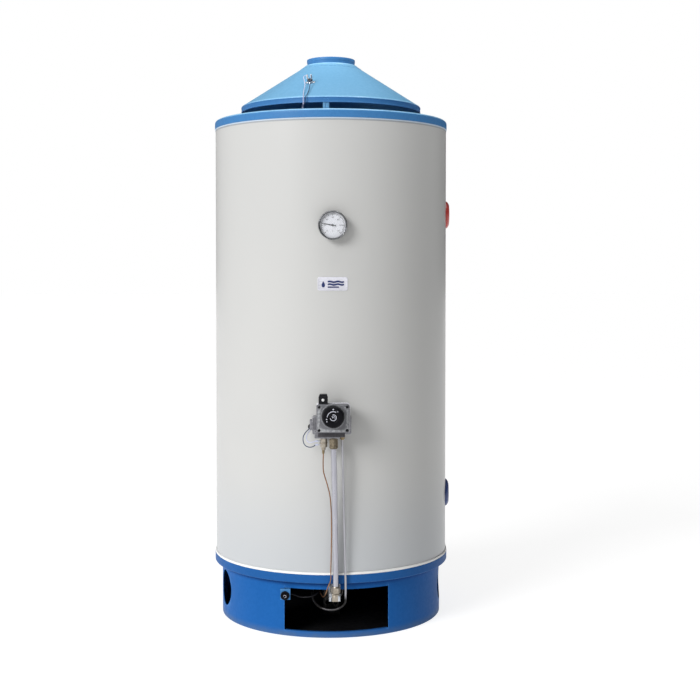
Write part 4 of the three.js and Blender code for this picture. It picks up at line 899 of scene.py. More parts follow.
# legs: pressed straps from the lid to the rim, with a groove and two spot welds each
leg_out = [(-9, -270.4), (-2.6, -270.4), (-1.5, -269.4), (1.5, -269.4), (2.6, -270.4), (9, -270.4), (9, -268.6), (2.2, -268.6), (1.2, -267.8), (-1.2, -267.8), (-2.2, -268.6), (-9, -268.6)]
leg = loft([[(x, y, z) for x, y in leg_out] for z in (LID_TOP + GAP, 1500, 1512, 1524)])
leg = bevel(leg, 0.35, 2, 50)
foot = loft([[(-9, -270.0, z), (9, -270.0, z), (9, -252, z), (6, -250, z), (-6, -250, z), (-9, -252, z)] for z in (LID_TOP + GAP, LID_TOP + GAP + 1.8)])
foot = bevel(foot, 0.4, 2, 50)
foot_screw = screw(3.6).rz(25).move(0, -259.5, LID_TOP + GAP + 1.6)
dimples = merge([lathe([(0, 0), (2.6, 0), (2.2, 0.5, 0.4), (0, 0.6)], 16, 3, False).rx(90).move(sx, -(R_HOOD - 0.75), 1520) for sx in (-4.5, 4.5)])
for i, az in enumerate(HOOD_LEGS):
    piece(f"hood_leg_{i + 1}", (leg + foot).rz(az), "hood_blue")
    piece(f"hood_leg_screw_{i + 1}", foot_screw.rz(az), "zinc_steel")
    piece(f"hood_welds_{i + 1}", dimples.rz(az), LIT_TRIM_BLUE)

# spill thermostat, square to the cone
SPILL_AZ, SPILL_R = -18.8, 192.0


def on_cone(g):
    return g.rx(CONE_TILT).move(0, -SPILL_R, hood_z(SPILL_R)).rz(SPILL_AZ)


def on_cone_point(x, y, z):
    return tuple(on_cone(G([(x, y, z)], [])).v[0])


SPILL_TOP = 11.3
plate = [(-14.5, -2.5), (-12.5, -5.0), (-6.5, -5.5), (6.5, -5.5), (12.5, -5.0), (14.5, -2.5), (14.5, 2.5), (12.5, 5.0), (6.5, 5.5), (-6.5, 5.5), (-12.5, 5.0), (-14.5, 2.5)]
plate_g = loft([[(x, y, 0.4) for x, y in plate], [(x, y, 1.4) for x, y in plate]])
piece("spill_plate", on_cone(plate_g + screw(2.5).rz(30).move(-11.3, 0, 1.3) + screw(2.5).rz(75).move(11.3, 0, 1.3)), BRIGHT)
piece("spill_cup", on_cone(lathe([(0, 1.2), (8.5, 1.2), (8.5, 2.2, 0.3), (7.7, 3.0, 0.5), (7.7, 6.4, 0.8), (0, 6.4)], 40, 4, False)), BRIGHT)
piece("spill_thermostat", on_cone(lathe([(0, 6.0), (7.9, 6.0), (7.9, 9.8, 0.6), (6.2, SPILL_TOP, 0.8), (0, SPILL_TOP)], 40, 4, False)
                                  + box(-3.4, 3.4, -1.0, 1.0, SPILL_TOP - 0.6, SPILL_TOP + 1.6, 0.3)),
      "thermostat_case", replaces="spill_thermostat")
blades = merge([box(sx - 0.4, sx + 0.4, -2.6, 2.6, SPILL_TOP - 1, SPILL_TOP + 6, 0.15) for sx in (-5.9, 5.9)])
piece("spill_blades", on_cone(blades), "brass")
for i, sx in enumerate((-5.9, 5.9)):
    sleeve = slab(sx - 2.3, sx + 2.3, -4.0, 4.0, -(SPILL_TOP + 14.0), -(SPILL_TOP + 1.0), 1.6, 1.4, 0.4, 3, 4, 0.7).rx(90).scale(1, -1, -1)
    sleeve = sleeve.scale(1, 1, -1) if sleeve.v[:, 2].mean() < 0 else sleeve
    piece(f"spill_sleeve_{i + 1}", on_cone(sleeve), "white_plastic")

# ---------------------------------------------------------------- flue, baffle, bottom head (seen through the collar and from below)
piece("flue_tube", lathe([(54.5, 292, 0.4), (57.5, 292, 0.4), (57.5, 1500, 0.5), (54.5, 1500, 0.5)], 96, 2), "dark_steel", replaces="flue_tube")
fold = [(0.0, 1503.0), (30.0, 1480.5)] + [((-30.0 if k % 2 else 30.0), 1480.5 - 45 * k) for k in range(1, 24)]
soft = fillet([(a, b, 6.0) for a, b in fold], 4, False, False)
strip = [[(-35, y - 0.9, z), (35, y - 0.9, z), (35, y + 0.9, z), (-35, y + 0.9, z)] for y, z in soft]
piece("flue_baffle", loft(strip) + rod((-62.5, 0, 1503.2), (62.5, 0, 1503.2), 2.5, 24), "dark_steel", replaces="flue_baffle")


def dome(rim, rise, z0, hole, t, steps=14):
    out = []
    for R, h, order in ((rim, rise, 1), (rim - t, rise - t, -1)):
        end = math.acos(hole / R)
        arc = [(R * math.cos(end * i / steps), z0 + h * math.sin(end * i / steps)) for i in range(steps + 1)]
        out += arc[::order]
    return out


piece("tank_bottom_head", lathe(dome(296.7, 50, 252, 58, 3), 128), "tank_steel", replaces="tank_bottom_head")
piece("tank_skirt", lathe([(297, JACKET_Z0, 0.5), (300, JACKET_Z0, 0.5), (300, 1345, 0.5), (297, 1345, 0.5)], 128, 2), "tank_steel", replaces="tank_shell")

# ---------------------------------------------------------------- anode plug
piece("anode_plug", hex_piece((anode_x, anode_y, LID_TOP + GAP), (0, 0, 1), 18, 14.7, turn=15)
      + lathe([(0, 1383), (13, 1383)] + threads(12.2, 1384, 1410, 1.8, 0.9) + [(12.6, 1412), (12.6, LID_TOP + 1), (0, LID_TOP + 1)], 40).move(anode_x, anode_y, 0),
      "zinc_steel", replaces="anode_plug")

# ---------------------------------------------------------------- side sockets and rosettes
jacket_tool = lathe([(0, 300), (R_JACKET + GAP, 300), (R_JACKET + GAP, 1300), (0, 1300)], ringN)
for label, z, colour in (("hot", HOT_Z, "red_plastic"), ("cold", COLD_Z, "blue_plastic")):
    prof = [(15.2, 298), (20.5, 298, 0.6), (20.5, 357.6, 0.9), (18.2, 358, 0.4), (16.8, 357.2)]
    prof += list(reversed([(r, h) for r, h in threads(15.3, 330, 356.0, 2.3, 1.2)])) + [(15.2, 329)]
    socket = lathe(prof, 64, 3, False)
    socket = socket.rx(90).rz(PORT_AZ).move(0, 0, z)
    piece(f"{label}_socket", socket, "brass", replaces=("hot_outlet_socket" if label == "hot" else "cold_inlet_socket"))
    rose = lathe([(21, 344), (41, 344), (41, 352.2, 1.0), (39.8, 353.4, 0.8), (38.2, 355.6, 3.0), (31, 359.6, 3.0), (25.5, 360, 1.0), (24.0, 358.6, 0.8), (21, 358.6, 0.5)], 96, 4, False)
    rose = rose.rx(90).rz(PORT_AZ).move(0, 0, z)
    piece(f"{label}_rosette", cut(rose, jacket_tool), colour, replaces=f"{label}_rosette")

# ---------------------------------------------------------------- drain cock
drain = hex_piece((0, R_JACKET + 1, DRAIN_Z), (0, 1, 0), 17, 10, turn=0)
drain = drain + rod((0, 297.5, DRAIN_Z), (0, 352, DRAIN_Z), 12, 40)
barrel = along(lathe([(0, 0), (11.0, 0), (11.0, 3, 0.8), (12.5, 5, 1.0), (12.5, 28, 1.2), (10.8, 29.8, 0.8), (0, 29.8)], 48, 3, False), (0, 360, DRAIN_Z), (0, 1, 0))
spout = along(lathe([(6, 0), (6, 34), (8.2, 34, 0.5), (9.2, 31.8, 0.5), (8.4, 29.5, 0.4), (9.2, 27.3, 0.5), (8.4, 25, 0.4), (9.2, 22.8, 0.5), (8.4, 20.5, 0.4), (10, 18.5, 0.6), (10, 0), (6, 0)], 40, 3, False)
              , (0, 376, DRAIN_Z), (0, 0, -1))
piece("drain_cock", drain + barrel + spout, "brass", replaces="drain_cock_body")
lever_pts = [(-6.5, 0), (-5.0, 30), (-6.2, 42), (-5.5, 48.5), (0, 53.5), (5.5, 48.5), (6.2, 42), (5.0, 30), (6.5, 0), (5.2, -6.0), (0, -8.6), (-5.2, -6.0)]
lever_pts = fillet([(x, z, 2.0) for x, z in lever_pts], 3, False)
lever = bevel(prism([(x, z + DRAIN_Z) for x, z in lever_pts], 391.8, 396.6), 1.0, 3, 60)
hub = along(lathe([(0, 0), (9, 0), (9, 7.2, 1.2), (5.5, 8.2, 0.6), (0, 8.2)], 40, 3, False), (0, 390.6, DRAIN_Z), (0, 1, 0))
piece("drain_lever", lever + hub, "red_plastic", body="drain_lever", replaces="drain_handle")
piece("drain_lever_screw", screw(2.8).rx(-90).move(0, 398.0 - 1.4, DRAIN_Z), "zinc_steel", body="drain_lever")

# ---------------------------------------------------------------- thermometer
yT = -R_JACKET


def tz(points, n=96, seg=4, guard=False):
    """Profile of (radius, distance in front of the jacket) about the thermometer's axis."""
    return lathe(points, n, seg, guard).rx(90).move(0, yT, THERMO_Z)


piece("thermometer_case", tz([(0, 2.2), (37.2, 2.2, 0.8), (39.5, 4.6, 1.6), (39.5, 21, 0.5), (38, 21, 0.3), (38, 13.0), (30, 4.2), (0, 4.2)]), "black_plastic",
      replaces="thermometer_case")
piece("thermometer_bezel", tz([(35.5, 21.3, 0.3), (40.5, 21.3, 0.6), (40.5, 24.0, 1.3), (39.2, 25.5, 0.9), (37.6, 25.2, 0.8), (36.2, 23.4, 0.6), (35.5, 23.0, 0.3)]), CHROME,
      replaces="thermometer_bezel")
piece("thermometer_dial", tz([(0, 13.5), (37.6, 13.5, 0.2), (37.6, 14.5, 0.2), (0, 14.5)]), "dial_white", replaces="thermometer_dial")
piece("thermometer_glass", tz([(0, 18.5), (37.6, 18.5, 0.2), (37.6, 20.5, 0.4), (0, 20.5)], 96), "glass", replaces="thermometer_glass", wear=False)


def dial_angle(deg_c):
    return 225.0 - deg_c / 120.0 * 270.0


marks = []
for t in range(0, 121, 2):
    a = rad(dial_angle(t))
    big = t % 20 == 0
    mid = t % 10 == 0
    r0, w = (27.0, 0.75) if big else ((28.6, 0.5) if mid else (30.2, 0.26))
    r1 = 32.6
    d, s = (math.cos(a), math.sin(a)), (-math.sin(a), math.cos(a))
    q = [(r0 * d[0] - w * s[0], r0 * d[1] - w * s[1]), (r1 * d[0] - w * s[0], r1 * d[1] - w * s[1]), (r1 * d[0] + w * s[0], r1 * d[1] + w * s[1]), (r0 * d[0] + w * s[0], r0 * d[1] + w * s[1])]
    marks.append(prism([(x, z + THERMO_Z) for x, z in q], yT - 14.72, yT - 14.5))
arc_rings = [[(r * math.cos(rad(a)), y, r * math.sin(rad(a)) + THERMO_Z) for r, y in ((32.5, yT - 14.5), (33.0, yT - 14.5), (33.0, yT - 14.7), (32.5, yT - 14.7))] for a in np.linspace(225, -45, 90)]
marks.append(loft(arc_rings))


def text(body, size, x, y, z, depth=0.12):
    """Digits as solid letters facing the front."""
    c = bpy.data.curves.new("t", "FONT")
    c.body, c.size, c.extrude = body, size, depth
    c.align_x, c.align_y = "CENTER", "CENTER"
    c.resolution_u = 3
    o = bpy.data.objects.new("t", c)
    SCENE.collection.objects.link(o)
    dg = bpy.context.evaluated_depsgraph_get()
    dg.update()
    me = bpy.data.meshes.new_from_object(o.evaluated_get(dg))
    g = _read(me)
    bpy.data.objects.remove(o)
    bpy.data.meshes.remove(me)
    return g.rx(90).move(x, y, z)


for t in range(0, 121, 20):
    a = rad(dial_angle(t))
    marks.append(text(str(t), 6.2 if t < 100 else 5.6, 21.8 * math.cos(a), yT - 14.6, THERMO_Z + 21.8 * math.sin(a)))
ringlet = [[(r * math.cos(rad(a)) , y, r * math.sin(rad(a)) + THERMO_Z - 15) for r, y in ((1.3, yT - 14.5), (1.75, yT - 14.5), (1.75, yT - 14.7), (1.3, yT - 14.7))] for a in np.linspace(0, 352, 24)]
marks.append(loft(ringlet + [ringlet[0]], False))
piece("dial_marks", merge(marks), INK_DARK, wear=False)
turn = 180 - 10
needle = prism([(-9.5, -1.5), (-8.0, -1.9), (-3.0, -0.8), (0, -1.9), (12, -1.45), (32.5, -0.7), (32.5, 0.7), (12, 1.45), (0, 1.9), (-3.0, 0.8), (-8.0, 1.9), (-9.5, 1.5)], yT - 17.1, yT - 16.5)
needle = bevel(needle, 0.12, 1, 50)
hub = lathe([(0, 15.0), (1.6, 15.0), (1.6, 16.2), (3.2, 16.2, 0.3), (3.2, 17.5, 0.5), (1.2, 18.0, 0.4), (0, 18.0)], 32, 3, False).rx(90).move(0, yT, 0)
piece("thermometer_needle", (needle + hub).ry(-turn).move(0, 0, THERMO_Z), "black_plastic", body="needle", replaces="thermometer_needle")

# ---------------------------------------------------------------- badge: a plain plate with a drop over a bar
badge = []
outline = rrect(-42, 42, 979, 1017, 6.0, 6)
dense = []
for (x, z), (x2, z2) in zip(outline, outline[1:] + outline[:1]):
    k = max(1, int(math.hypot(x2 - x, z2 - z) / 3))
    dense += [(x + (x2 - x) * i / k, z + (z2 - z) * i / k) for i in range(k)]


def wrap(x, z, r):
    a = math.degrees(x / R_JACKET)
    return at(r, a, z)


def inset(points, d, cx=0.0, cz=998.0):
    return [((x - cx) * (1 - d / 42) + cx, (z - cz) * (1 - d / 19) + cz) for x, z in points]


plate_rings = [[wrap(x, z, R_JACKET + GAP) for x, z in dense], [wrap(x, z, R_JACKET + 1.1) for x, z in dense],
               [wrap(x, z, R_JACKET + 1.45) for x, z in inset(dense, 0.35)], [wrap(x, z, R_JACKET + 1.45) for x, z in inset(dense, 1.6)],
               [wrap(x, z, R_JACKET + 1.25) for x, z in inset(dense, 1.9)], [wrap(x, z, R_JACKET + 1.25) for x, z in inset(dense, 10)],
               [wrap(x, z, R_JACKET + 1.25) for x, z in inset(dense, 18)]]
piece("badge_plate", loft(plate_rings), "badge_enamel", replaces="badge_plate")


def wrapped(points, r0, r1):
    return loft([[wrap(x, z, r0) for x, z in points], [wrap(x, z, r1) for x, z in points]])


drop_pts = []
for k in range(36):
    a = rad(10 * k)
    drop_pts.append((-26 + 6.2 * math.sin(a) * (math.sin(a / 2) ** 1.1 if a <= math.pi else math.sin((2 * math.pi - a) / 2) ** 1.1), 996.8 + 8.6 * math.cos(a)))


def bar(x0, x1, z0, z1, swing, n=28):
    rings = []
    for k in range(n + 1):
        x = x0 + (x1 - x0) * k / n
        dz = swing * math.sin(2 * math.pi * (x - x0) / 23.0)
        thin = min(1.0, math.sqrt(max(0.0, 1 - (1 - min(k, n - k) / 2.0) ** 2)) if min(k, n - k) < 2 else 1.0) or 0.3
        m, h = (z0 + z1) / 2 + dz, (z1 - z0) / 2 * max(0.35, thin)
        rings.append([wrap(x, m - h, R_JACKET + 1.1), wrap(x, m + h, R_JACKET + 1.1), wrap(x, m + h, R_JACKET + 1.58), wrap(x, m - h, R_JACKET + 1.58)])
    return loft(rings)


bars = [bar(-14, 32, 1001.0, 1006.0, 1.1), bar(-14, 32, 993.5, 998.5, 1.1), bar(-14, 18, 987.0, 990.6, 0.0)]
piece("badge_mark", merge([wrapped(drop_pts, R_JACKET + 1.2, R_JACKET + 1.6)] + bars), INK, wear=False)

# ---------------------------------------------------------------- gas valve body
vb_solid = boolean(slab(-57, 51, 584, 634, -400, -368.3, 5, 2.0, 1.2, 4, 5),
                   [slab(-51, 18.7, 573, 596, -402, -372, 3, 1.6, 0.8, 4, 5), slab(-42, 42, 592, 668, -404.7, -372, 5, 0.8, 1.2, 3, 5),
                    along(lathe([(0, 0), (15, 0), (15, 12.2, 0.8), (13.6, 14, 0.8), (0, 14)], 48, 3, False), (-50, -386, 610), (-1, 0, 0)),
                    along(lathe([(0, 0), (6.2, 0), (5.4, 1.6, 0.5), (5.0, 4.6, 0.5), (0, 5)], 32, 3, False), (-48, -399, 593.4), (0, -1, 0))], "UNION")
vb_solid = cut(vb_solid,
               along(lathe([(0, 0), (10.5, 0)] + [(10.5, 1)] + threads(10.5, 1.5, 13, 1.8, 0.6) + [(10.9, 14), (11.6, 17), (0, 17)], 40), (-50, -386, 610), (-1, 0, 0)),
               rod((0, -410, KNOB_Z), (0, -388, KNOB_Z), 6, 32, 0),
               box(-60, -54.2, -396, -391.5, 618, 640), box(-54, -50, -403, -398.6, 598, 630), box(-49.0, -46.6, -403, -398.8, 598, 630),
               rod((-48, -405, 593.4), (-48, -402.2, 593.4), 2.2, 6, 0),
               box(-47, -24, -404, -400.8, 578, 579.4), box(-47, -24, -404, -400.8, 581.4, 582.8))
piece("valve_body", vb_solid, "valve_casting", replaces="valve_body", sharp=30)

# cover with a soft front, recessed screw wells and a raised ring round the knob
cover = slab(-45.5, 45.5, 592, 670.5, -434, -405, 8, 6.5, 0.6, 8, 7)
cover = boolean(cover, [turn_y([(0, -436.4), (33.6, -436.4, 0.8), (34.6, -433.0, 0.8), (34.6, -428), (0, -428)], 0, KNOB_Z, 72, 3, False)], "UNION")
wells = [turn_y([(0, -436), (4.3, -436), (4.3, -429.2, 0.5), (0, -429.2)], sx * 38.2, sz, 28, 2, False) for sx in (-1, 1) for sz in (599.4, 663.2)]
cover = cut(cover, slab(-43, 43, 594.5, 668, -430.5, -400, 6, 1, 0, 2, 4), turn_y([(0, -440), (31.4, -440), (31.4, -434.6, 0.4), (0, -434.6)], 0, KNOB_Z, 72, 2, False),
            turn_y([(0, -441), (6, -441), (6, -425), (0, -425)], 0, KNOB_Z, 32, 2, False), *wells)
piece("valve_cover", cover, "cover_grey", replaces="valve_cover", sharp=30)
piece("cover_screws", merge([front_screw(sx * 38.2, -429.4, sz, 3.7, "cross", t) for sx, sz, t in
                             ((-1, 599.4, 12), (1, 599.4, 40), (-1, 663.2, 65), (1, 663.2, 80))]), SCREW)
piece("cover_joint", slab(-44.6, 44.6, 592.9, 669.6, -405.6, -404.4, 7, 0, 0, 1, 7), "black_plastic")

# knob: ribbed skirt, turned front, printed marks
ribs = 60
knob_rings = []
for y, shrink in ((-440, 0.6), (-440.6, 0.0), (-453.8, 0.0), (-455.6, 0.7), (-456, 1.6)):
    ring = []
    for i in range(ribs * 4):
        a = 2 * math.pi * i / (ribs * 4)
        wave = [0.0, 0.25, 1.0, 0.25][i % 4]
        r = 30.0 - 1.15 * wave - shrink
        ring.append((r * math.cos(a), y, r * math.sin(a) + KNOB_Z))
    knob_rings.append(ring)
knob_g = loft(knob_rings)
front_g = turn_y([(0, -450), (28.2, -450), (28.4, -457.5, 0.8), (27.9, -459.3, 0.6), (25.6, -461.85, 1.6), (14.5, -461.85, 1.0), (13.2, -461.1, 0.8), (11.0, -461.1, 0.6), (9.8, -461.85, 0.8), (0, -461.85)], 0, KNOB_Z, 96, 4, False)
knob_g = boolean(knob_g, [front_g], "UNION")
knob_g = cut(knob_g, turn_y([(0, -455), (5.3, -455), (5.3, -430), (0, -430)], 0, KNOB_Z, 32, 2, False),
             turn_y([(7.5, -453), (26, -453), (26, -439), (7.5, -439)], 0, KNOB_Z, 64, 2, False))
piece("control_knob", knob_g, KNOB_BLACK, body="knob", replaces="control_knob", sharp=32)


def flat_arc(r0, r1, a0, a1, y0, y1, n=40):
    """Printed arc on the knob: angles anticlockwise from 3 o'clock as seen from the front."""
    return loft([[(r * math.cos(rad(a)), y, r * math.sin(rad(a)) + KNOB_Z) for r, y in ((r0, y1), (r1, y1), (r1, y0), (r0, y0))] for a in np.linspace(a0, a1, n)])


def flat_dot(x, z, r, y0, y1, n=20):
    return prism([(x + r * math.cos(2 * math.pi * k / n), z + r * math.sin(2 * math.pi * k / n)) for k in range(n)], y0, y1)


KY0, KY1 = -462.0, -461.7
prints = [flat_arc(15.4, 17.4, 176, 62, KY0 - 0.0, KY1), flat_dot(0, KNOB_Z + 22.4, 1.9, KY0, KY1),
          flat_dot(-18.6 * math.cos(rad(14)), KNOB_Z - 18.6 * math.sin(rad(14)), 1.7, KY0, KY1),
          flat_dot(-20.4 * math.cos(rad(32)), KNOB_Z - 20.4 * math.sin(rad(32)), 1.4, KY0, KY1),
          flat_arc(18.6, 21.4, 58.5, 55.5, KY0, KY1, 4), flat_arc(18.6, 21.4, 52, 49, KY0, KY1, 4),
          flat_arc(7.4, 9.1, 100, -170, KY0 - 0.0, KY1, 60), flat_arc(4.2, 5.4, 150, -40, KY0, KY1, 30),
          flat_dot(-1.0, KNOB_Z + 0.6, 1.7, KY0, KY1)]
prints_g = merge(prints).move(0, -0.0, 0)
prints_g.v[:, 1] = np.where(prints_g.v[:, 1] < -461.9, -461.98, -461.6)
piece("knob_marks", prints_g, PRINT, body="knob", wear=False)

# plate between the body and the cover, its near-white tone a painted highlight along the cover's top edge, and a dark
# slab under the control whose dark grey is painted shade
piece("cover_plate", bevel(slab(-44.8, 46.9, 590.8, 672.6, -412, -404.8, 7, 1.0, 0.0, 3, 6), 0.3, 1, 60), PAINTED_HIGHLIGHT_CAST)
piece("valve_foot", slab(-41.5, 33.5, 576.5, 591.0, -403.4, -396, 2.0, 1.4, 0.6, 4, 4), PAINTED_SHADE_GREY)

# limiter cap: a tapered hood with a collar round its reset button
cap = [(-39.5, 670.8), (-14.2, 670.8), (-14.2, 689.5), (-16.8, 697.0), (-35.5, 697.0), (-39.5, 689.5)]
cap = fillet([(x, z, rr) for (x, z), rr in zip(cap, (0.8, 0.8, 1.6, 1.2, 1.2, 1.6))], 4, False)
cap_g = prism(cap, -425, -400)
cap_g = bevel(cap_g, 0.8, 3, 55)
cap_g = boolean(cap_g, [turn_y([(0, -426.2), (6.0, -426.2, 0.7), (6.6, -424, 0.4), (6.6, -420), (0, -420)], -27.4, 681.5, 40, 3, False)], "UNION")
cap_g = cut(cap_g, turn_y([(0, -430), (4.2, -430), (4.2, -410.5), (0, -410.5)], -27.4, 681.5, 32, 2, False),
            box(-36.0, -18.2, -427, -424.3, 690.2, 691.0), box(-35.4, -18.4, -427, -424.3, 692.4, 693.2))
piece("limiter_cap", cap_g, "black_plastic", replaces="limiter_housing", sharp=30)
piece("limiter_seat", slab(-40.5, -13.2, 668.6, 671.2, -420, -396, 1.0, 0.8, 0.4, 3, 3), "valve_casting")
piece("reset_button", turn_y([(0, -428), (3.0, -428, 0.6), (3.9, -426.6, 0.8), (3.9, -413.5), (0, -413.5)], -27.4, 681.5, 36, 4, False), "white_plastic",
      body="reset_push", replaces="reset_button")
piece("knob_spindle", cut(turn_y([(0, -452), (5.0, -452, 0.6), (5.0, -397, 0.6), (0, -397)], 0, KNOB_Z, 40, 3, False), box(-6, 6, -453, -440, KNOB_Z + 3.4, KNOB_Z + 8)),
      "zinc_steel", body="spindle", replaces="knob_spindle")

# ---------------------------------------------------------------- fittings under the valve
tb = hex_piece((-26, -388, 548), (0, 0, 1), 10.4, 24.7, turn=0)
tb = tb + lathe([(0, 540), (5.2, 540, 0.5), (6.0, 541.2, 0.4), (6.0, 548.6), (0, 548.6)], 32, 3, False).move(-26, -388, 0)
tb = tb + lathe([(10.5, 558.0), (11.6, 558.0, 0.4), (11.6, 561.6, 0.4), (10.5, 561.6)], 40, 3, False).scale(0.93, 0.93, 1).move(-26, -388, 0)
piece("thermocouple_block", tb, DULL_NICKEL, replaces="thermocouple_block")
tabs = merge([box(-46, -32, -391.0, -390.0, z0, z0 + 4, 0.2) for z0 in (553, 563)])
piece("thermocouple_tabs", tabs, "zinc_steel")
piece("thermocouple_terminals", merge([slab(-49.0, -40.5, z0 - 0.2, z0 + 4.2, -392.2, -388.8, 1.0, 0.8, 0.8, 3, 3) for z0 in (553, 563)]), "lead_light")
piece("gas_outlet_nut", hex_piece((2, -393, 546), (0, 0, 1), 13.5, 24.5, 8.0, turn=30)
      + lathe([(7.9, 543.6), (10.2, 543.6, 0.8), (10.8, 546.4), (7.9, 546.4)], 40, 3, False).move(2, -393, 0)
      + lathe([(8.4, 570), (11.0, 570), (11.0, 573.2), (8.4, 573.2)], 40, 3, False).move(2, -393, 0), NUT_BRASS, replaces="gas_outlet_nut")
piece("pilot_nut", hex_piece((26, -385, 570), (0, 0, 1), 7, 10.5, 3.4, turn=0)
      + lathe([(3.3, 567.4), (4.6, 567.4, 0.5), (5.2, 570.3), (3.3, 570.3)], 32, 3, False).move(26, -385, 0)
      + lathe([(3.3, 580), (5.4, 580), (5.4, 583.9), (3.3, 583.9)], 32, 3, False).move(26, -385, 0), "brass", replaces="pilot_nut")

GAS_PATH = [(2, -393, 571), (2, -393, 540), (3.5, -388, 480), (6, -376, 330), (8, -367, 210), (8, -365, 172), (8, -365, 150), (8, -365, MZ + 12)]
piece("gas_tube", sweep(centripetal(GAS_PATH, 14), 7.5, 40, bore=6.3), "aluminium_tube", replaces="gas_tube", sharp=50)
PILOT_PATH = [(26, -385, 582), (26, -385, 560), (27, -383, 520), (31, -372, 350), (35, -361, 190), (35.5, -359, 130), (34, -352, 105), (18, -345, 88), (-5, -340, 82),
              (-35, -325, 86), (-55, -290, 100), (-52, -200, 125), (-47, -145, 134), (-45.3, -128, 146), (-45, -126, 155), (-45, -126, 164.6)]
# Below about 112 mm the pilot tube's finish is painted shade.
piece("pilot_tube", sweep(centripetal(PILOT_PATH, 12), 3.0, 24), PILOT_ALU, replaces="pilot_tube", sharp=50)
LEAD_PATH = [(-26, -388, 539.7), (-27, -386, 500), (-26, -384, 480), (-15, -378, 440), (-8, -373, 410), (-3.5, -368, 330), (-5.5, -362, 200), (-6, -360, 170),
             (-14, -358, 150), (-20, -345, 128), (-28, -310, 112), (-45, -220, 130), (-60, -140, 150), (-60, -126, 173)]
piece("thermocouple_lead", sweep(centripetal(LEAD_PATH, 12), 1.6, 20)
      + lathe([(0, 172), (2.6, 172), (3.0, 173, 0.4), (3.0, 203, 1.4), (1.6, 205, 1.0), (0, 205)], 28, 3, False).move(-60, -126, 0), "copper_tube",
      replaces="thermocouple_lead", sharp=50)
piece("thermocouple_collar", lathe([(1.4, 529), (2.6, 529, 0.4), (3.4, 533, 0.5), (3.4, 540, 0.3), (1.4, 540)], 28, 3, False).move(-26.3, -387.6, 0), "brass")

# ---------------------------------------------------------------- manifold
piece("manifold_nut", hex_piece((8, -365, MZ + 11), (0, 0, 1), 13.5, 16, 8.0, turn=0)
      + lathe([(7.9, MZ + 26.6), (10.6, MZ + 26.6), (9.6, MZ + 29.4, 0.5), (7.9, MZ + 29.8, 0.3)], 40, 3, False).move(8, -365, 0), DULL_NICKEL, replaces="manifold_nut")
elbow = bevel(box(-3, 19, -376, -354, MZ - 11, MZ + 10.7), 2.2, 3)
elbow = boolean(elbow, [along(lathe([(0, 0), (9.6, 0), (9.6, 20, 0.8), (9.0, 21, 0.4), (9.0, 28), (0, 28)], 40, 3, False), (8, -356, MZ), (0, 1, 0)),
                        along(lathe([(0, 0), (7.0, 0), (7.0, 1.0, 0.4), (6.2, 1.6, 0.4), (0, 1.6)], 36, 3, False), (8, -375.6, MZ), (0, -1, 0))], "UNION")
elbow.v[:, 1] = np.maximum(elbow.v[:, 1], -377.2)
elbow = cut(elbow, rod((8, -365, MZ + 18), (8, -365, MZ), 5, 24, 0), rod((8, -366, MZ), (8, -320, MZ), 5, 24, 0), rod((8, -378.5, MZ), (8, -376.2, MZ), 3.0, 6, 0))
piece("manifold_elbow", elbow, DULL_NICKEL, replaces="manifold_elbow", sharp=30)
piece("gas_injector", hex_piece((8, -327.7, MZ), (0, 1, 0), 8, 9.8, turn=0)
      + along(lathe([(0, 0), (4.5, 0), (4.5, 11, 0.5), (3.2, 13, 0.6), (1.0, 13, 0.2), (1.0, 10), (0, 10)], 32, 3, False), (8, -318, MZ), (0, 1, 0)), "brass",
      replaces="gas_injector")
# U bracket with flared ears and two screws
bracket = boolean(box(-11, 21, -334, -332.4, 114, 157), [box(-11, -9.4, -350, -333, 114, 157), box(19.4, 21, -350, -333, 114, 157),
                                                         box(-11, -9.4, -372, -333, 114, 134), box(19.4, 21, -372, -333, 114, 134)], "UNION")
bracket = bevel(bracket, 0.5, 3)
bracket = cut(bracket, rod((8, -340, MZ), (8, -325, MZ), 9.8, 40, 0), rod((-14, -343, 150), (-6, -343, 150), 2.6, 20, 0), rod((16, -343, 150), (26, -343, 150), 2.6, 20, 0))
piece("manifold_bracket", bracket, "zinc_steel", replaces="manifold_bracket")
piece("bracket_screws", merge([screw(3.0).rz(20).rx(90).move(x, -333.9, 150) for x in (-5.0, 15.5)]), "zinc_steel")
# folded tabs of the bracket that hold the elbow from the front
piece("bracket_tabs", merge([bevel(box(x0, x1, -378.2, -376.6, 116, 132), 0.4, 2) + bevel(box(xs, xs + 1.6, -378.2, -371.5, 116, 132), 0.4, 2)
                             for x0, x1, xs in ((-11, -4.4, -11), (20.4 - 6.0, 21, 19.4))]), "zinc_steel")

# ---------------------------------------------------------------- burner
VENTURI = [(8, -298, MZ), (5, -200, 124), (0, -85, 121), (0, -22, 128), (0, 0, 150), (0, 0, 176)]
vp = centripetal(VENTURI, 16)


def venturi_r(t):
    return float(np.interp(t, [0, 0.012, 0.05, 0.16, 0.45, 1.0], [22.0, 21.9, 20.0, 17.6, 19.6, 21.6]))


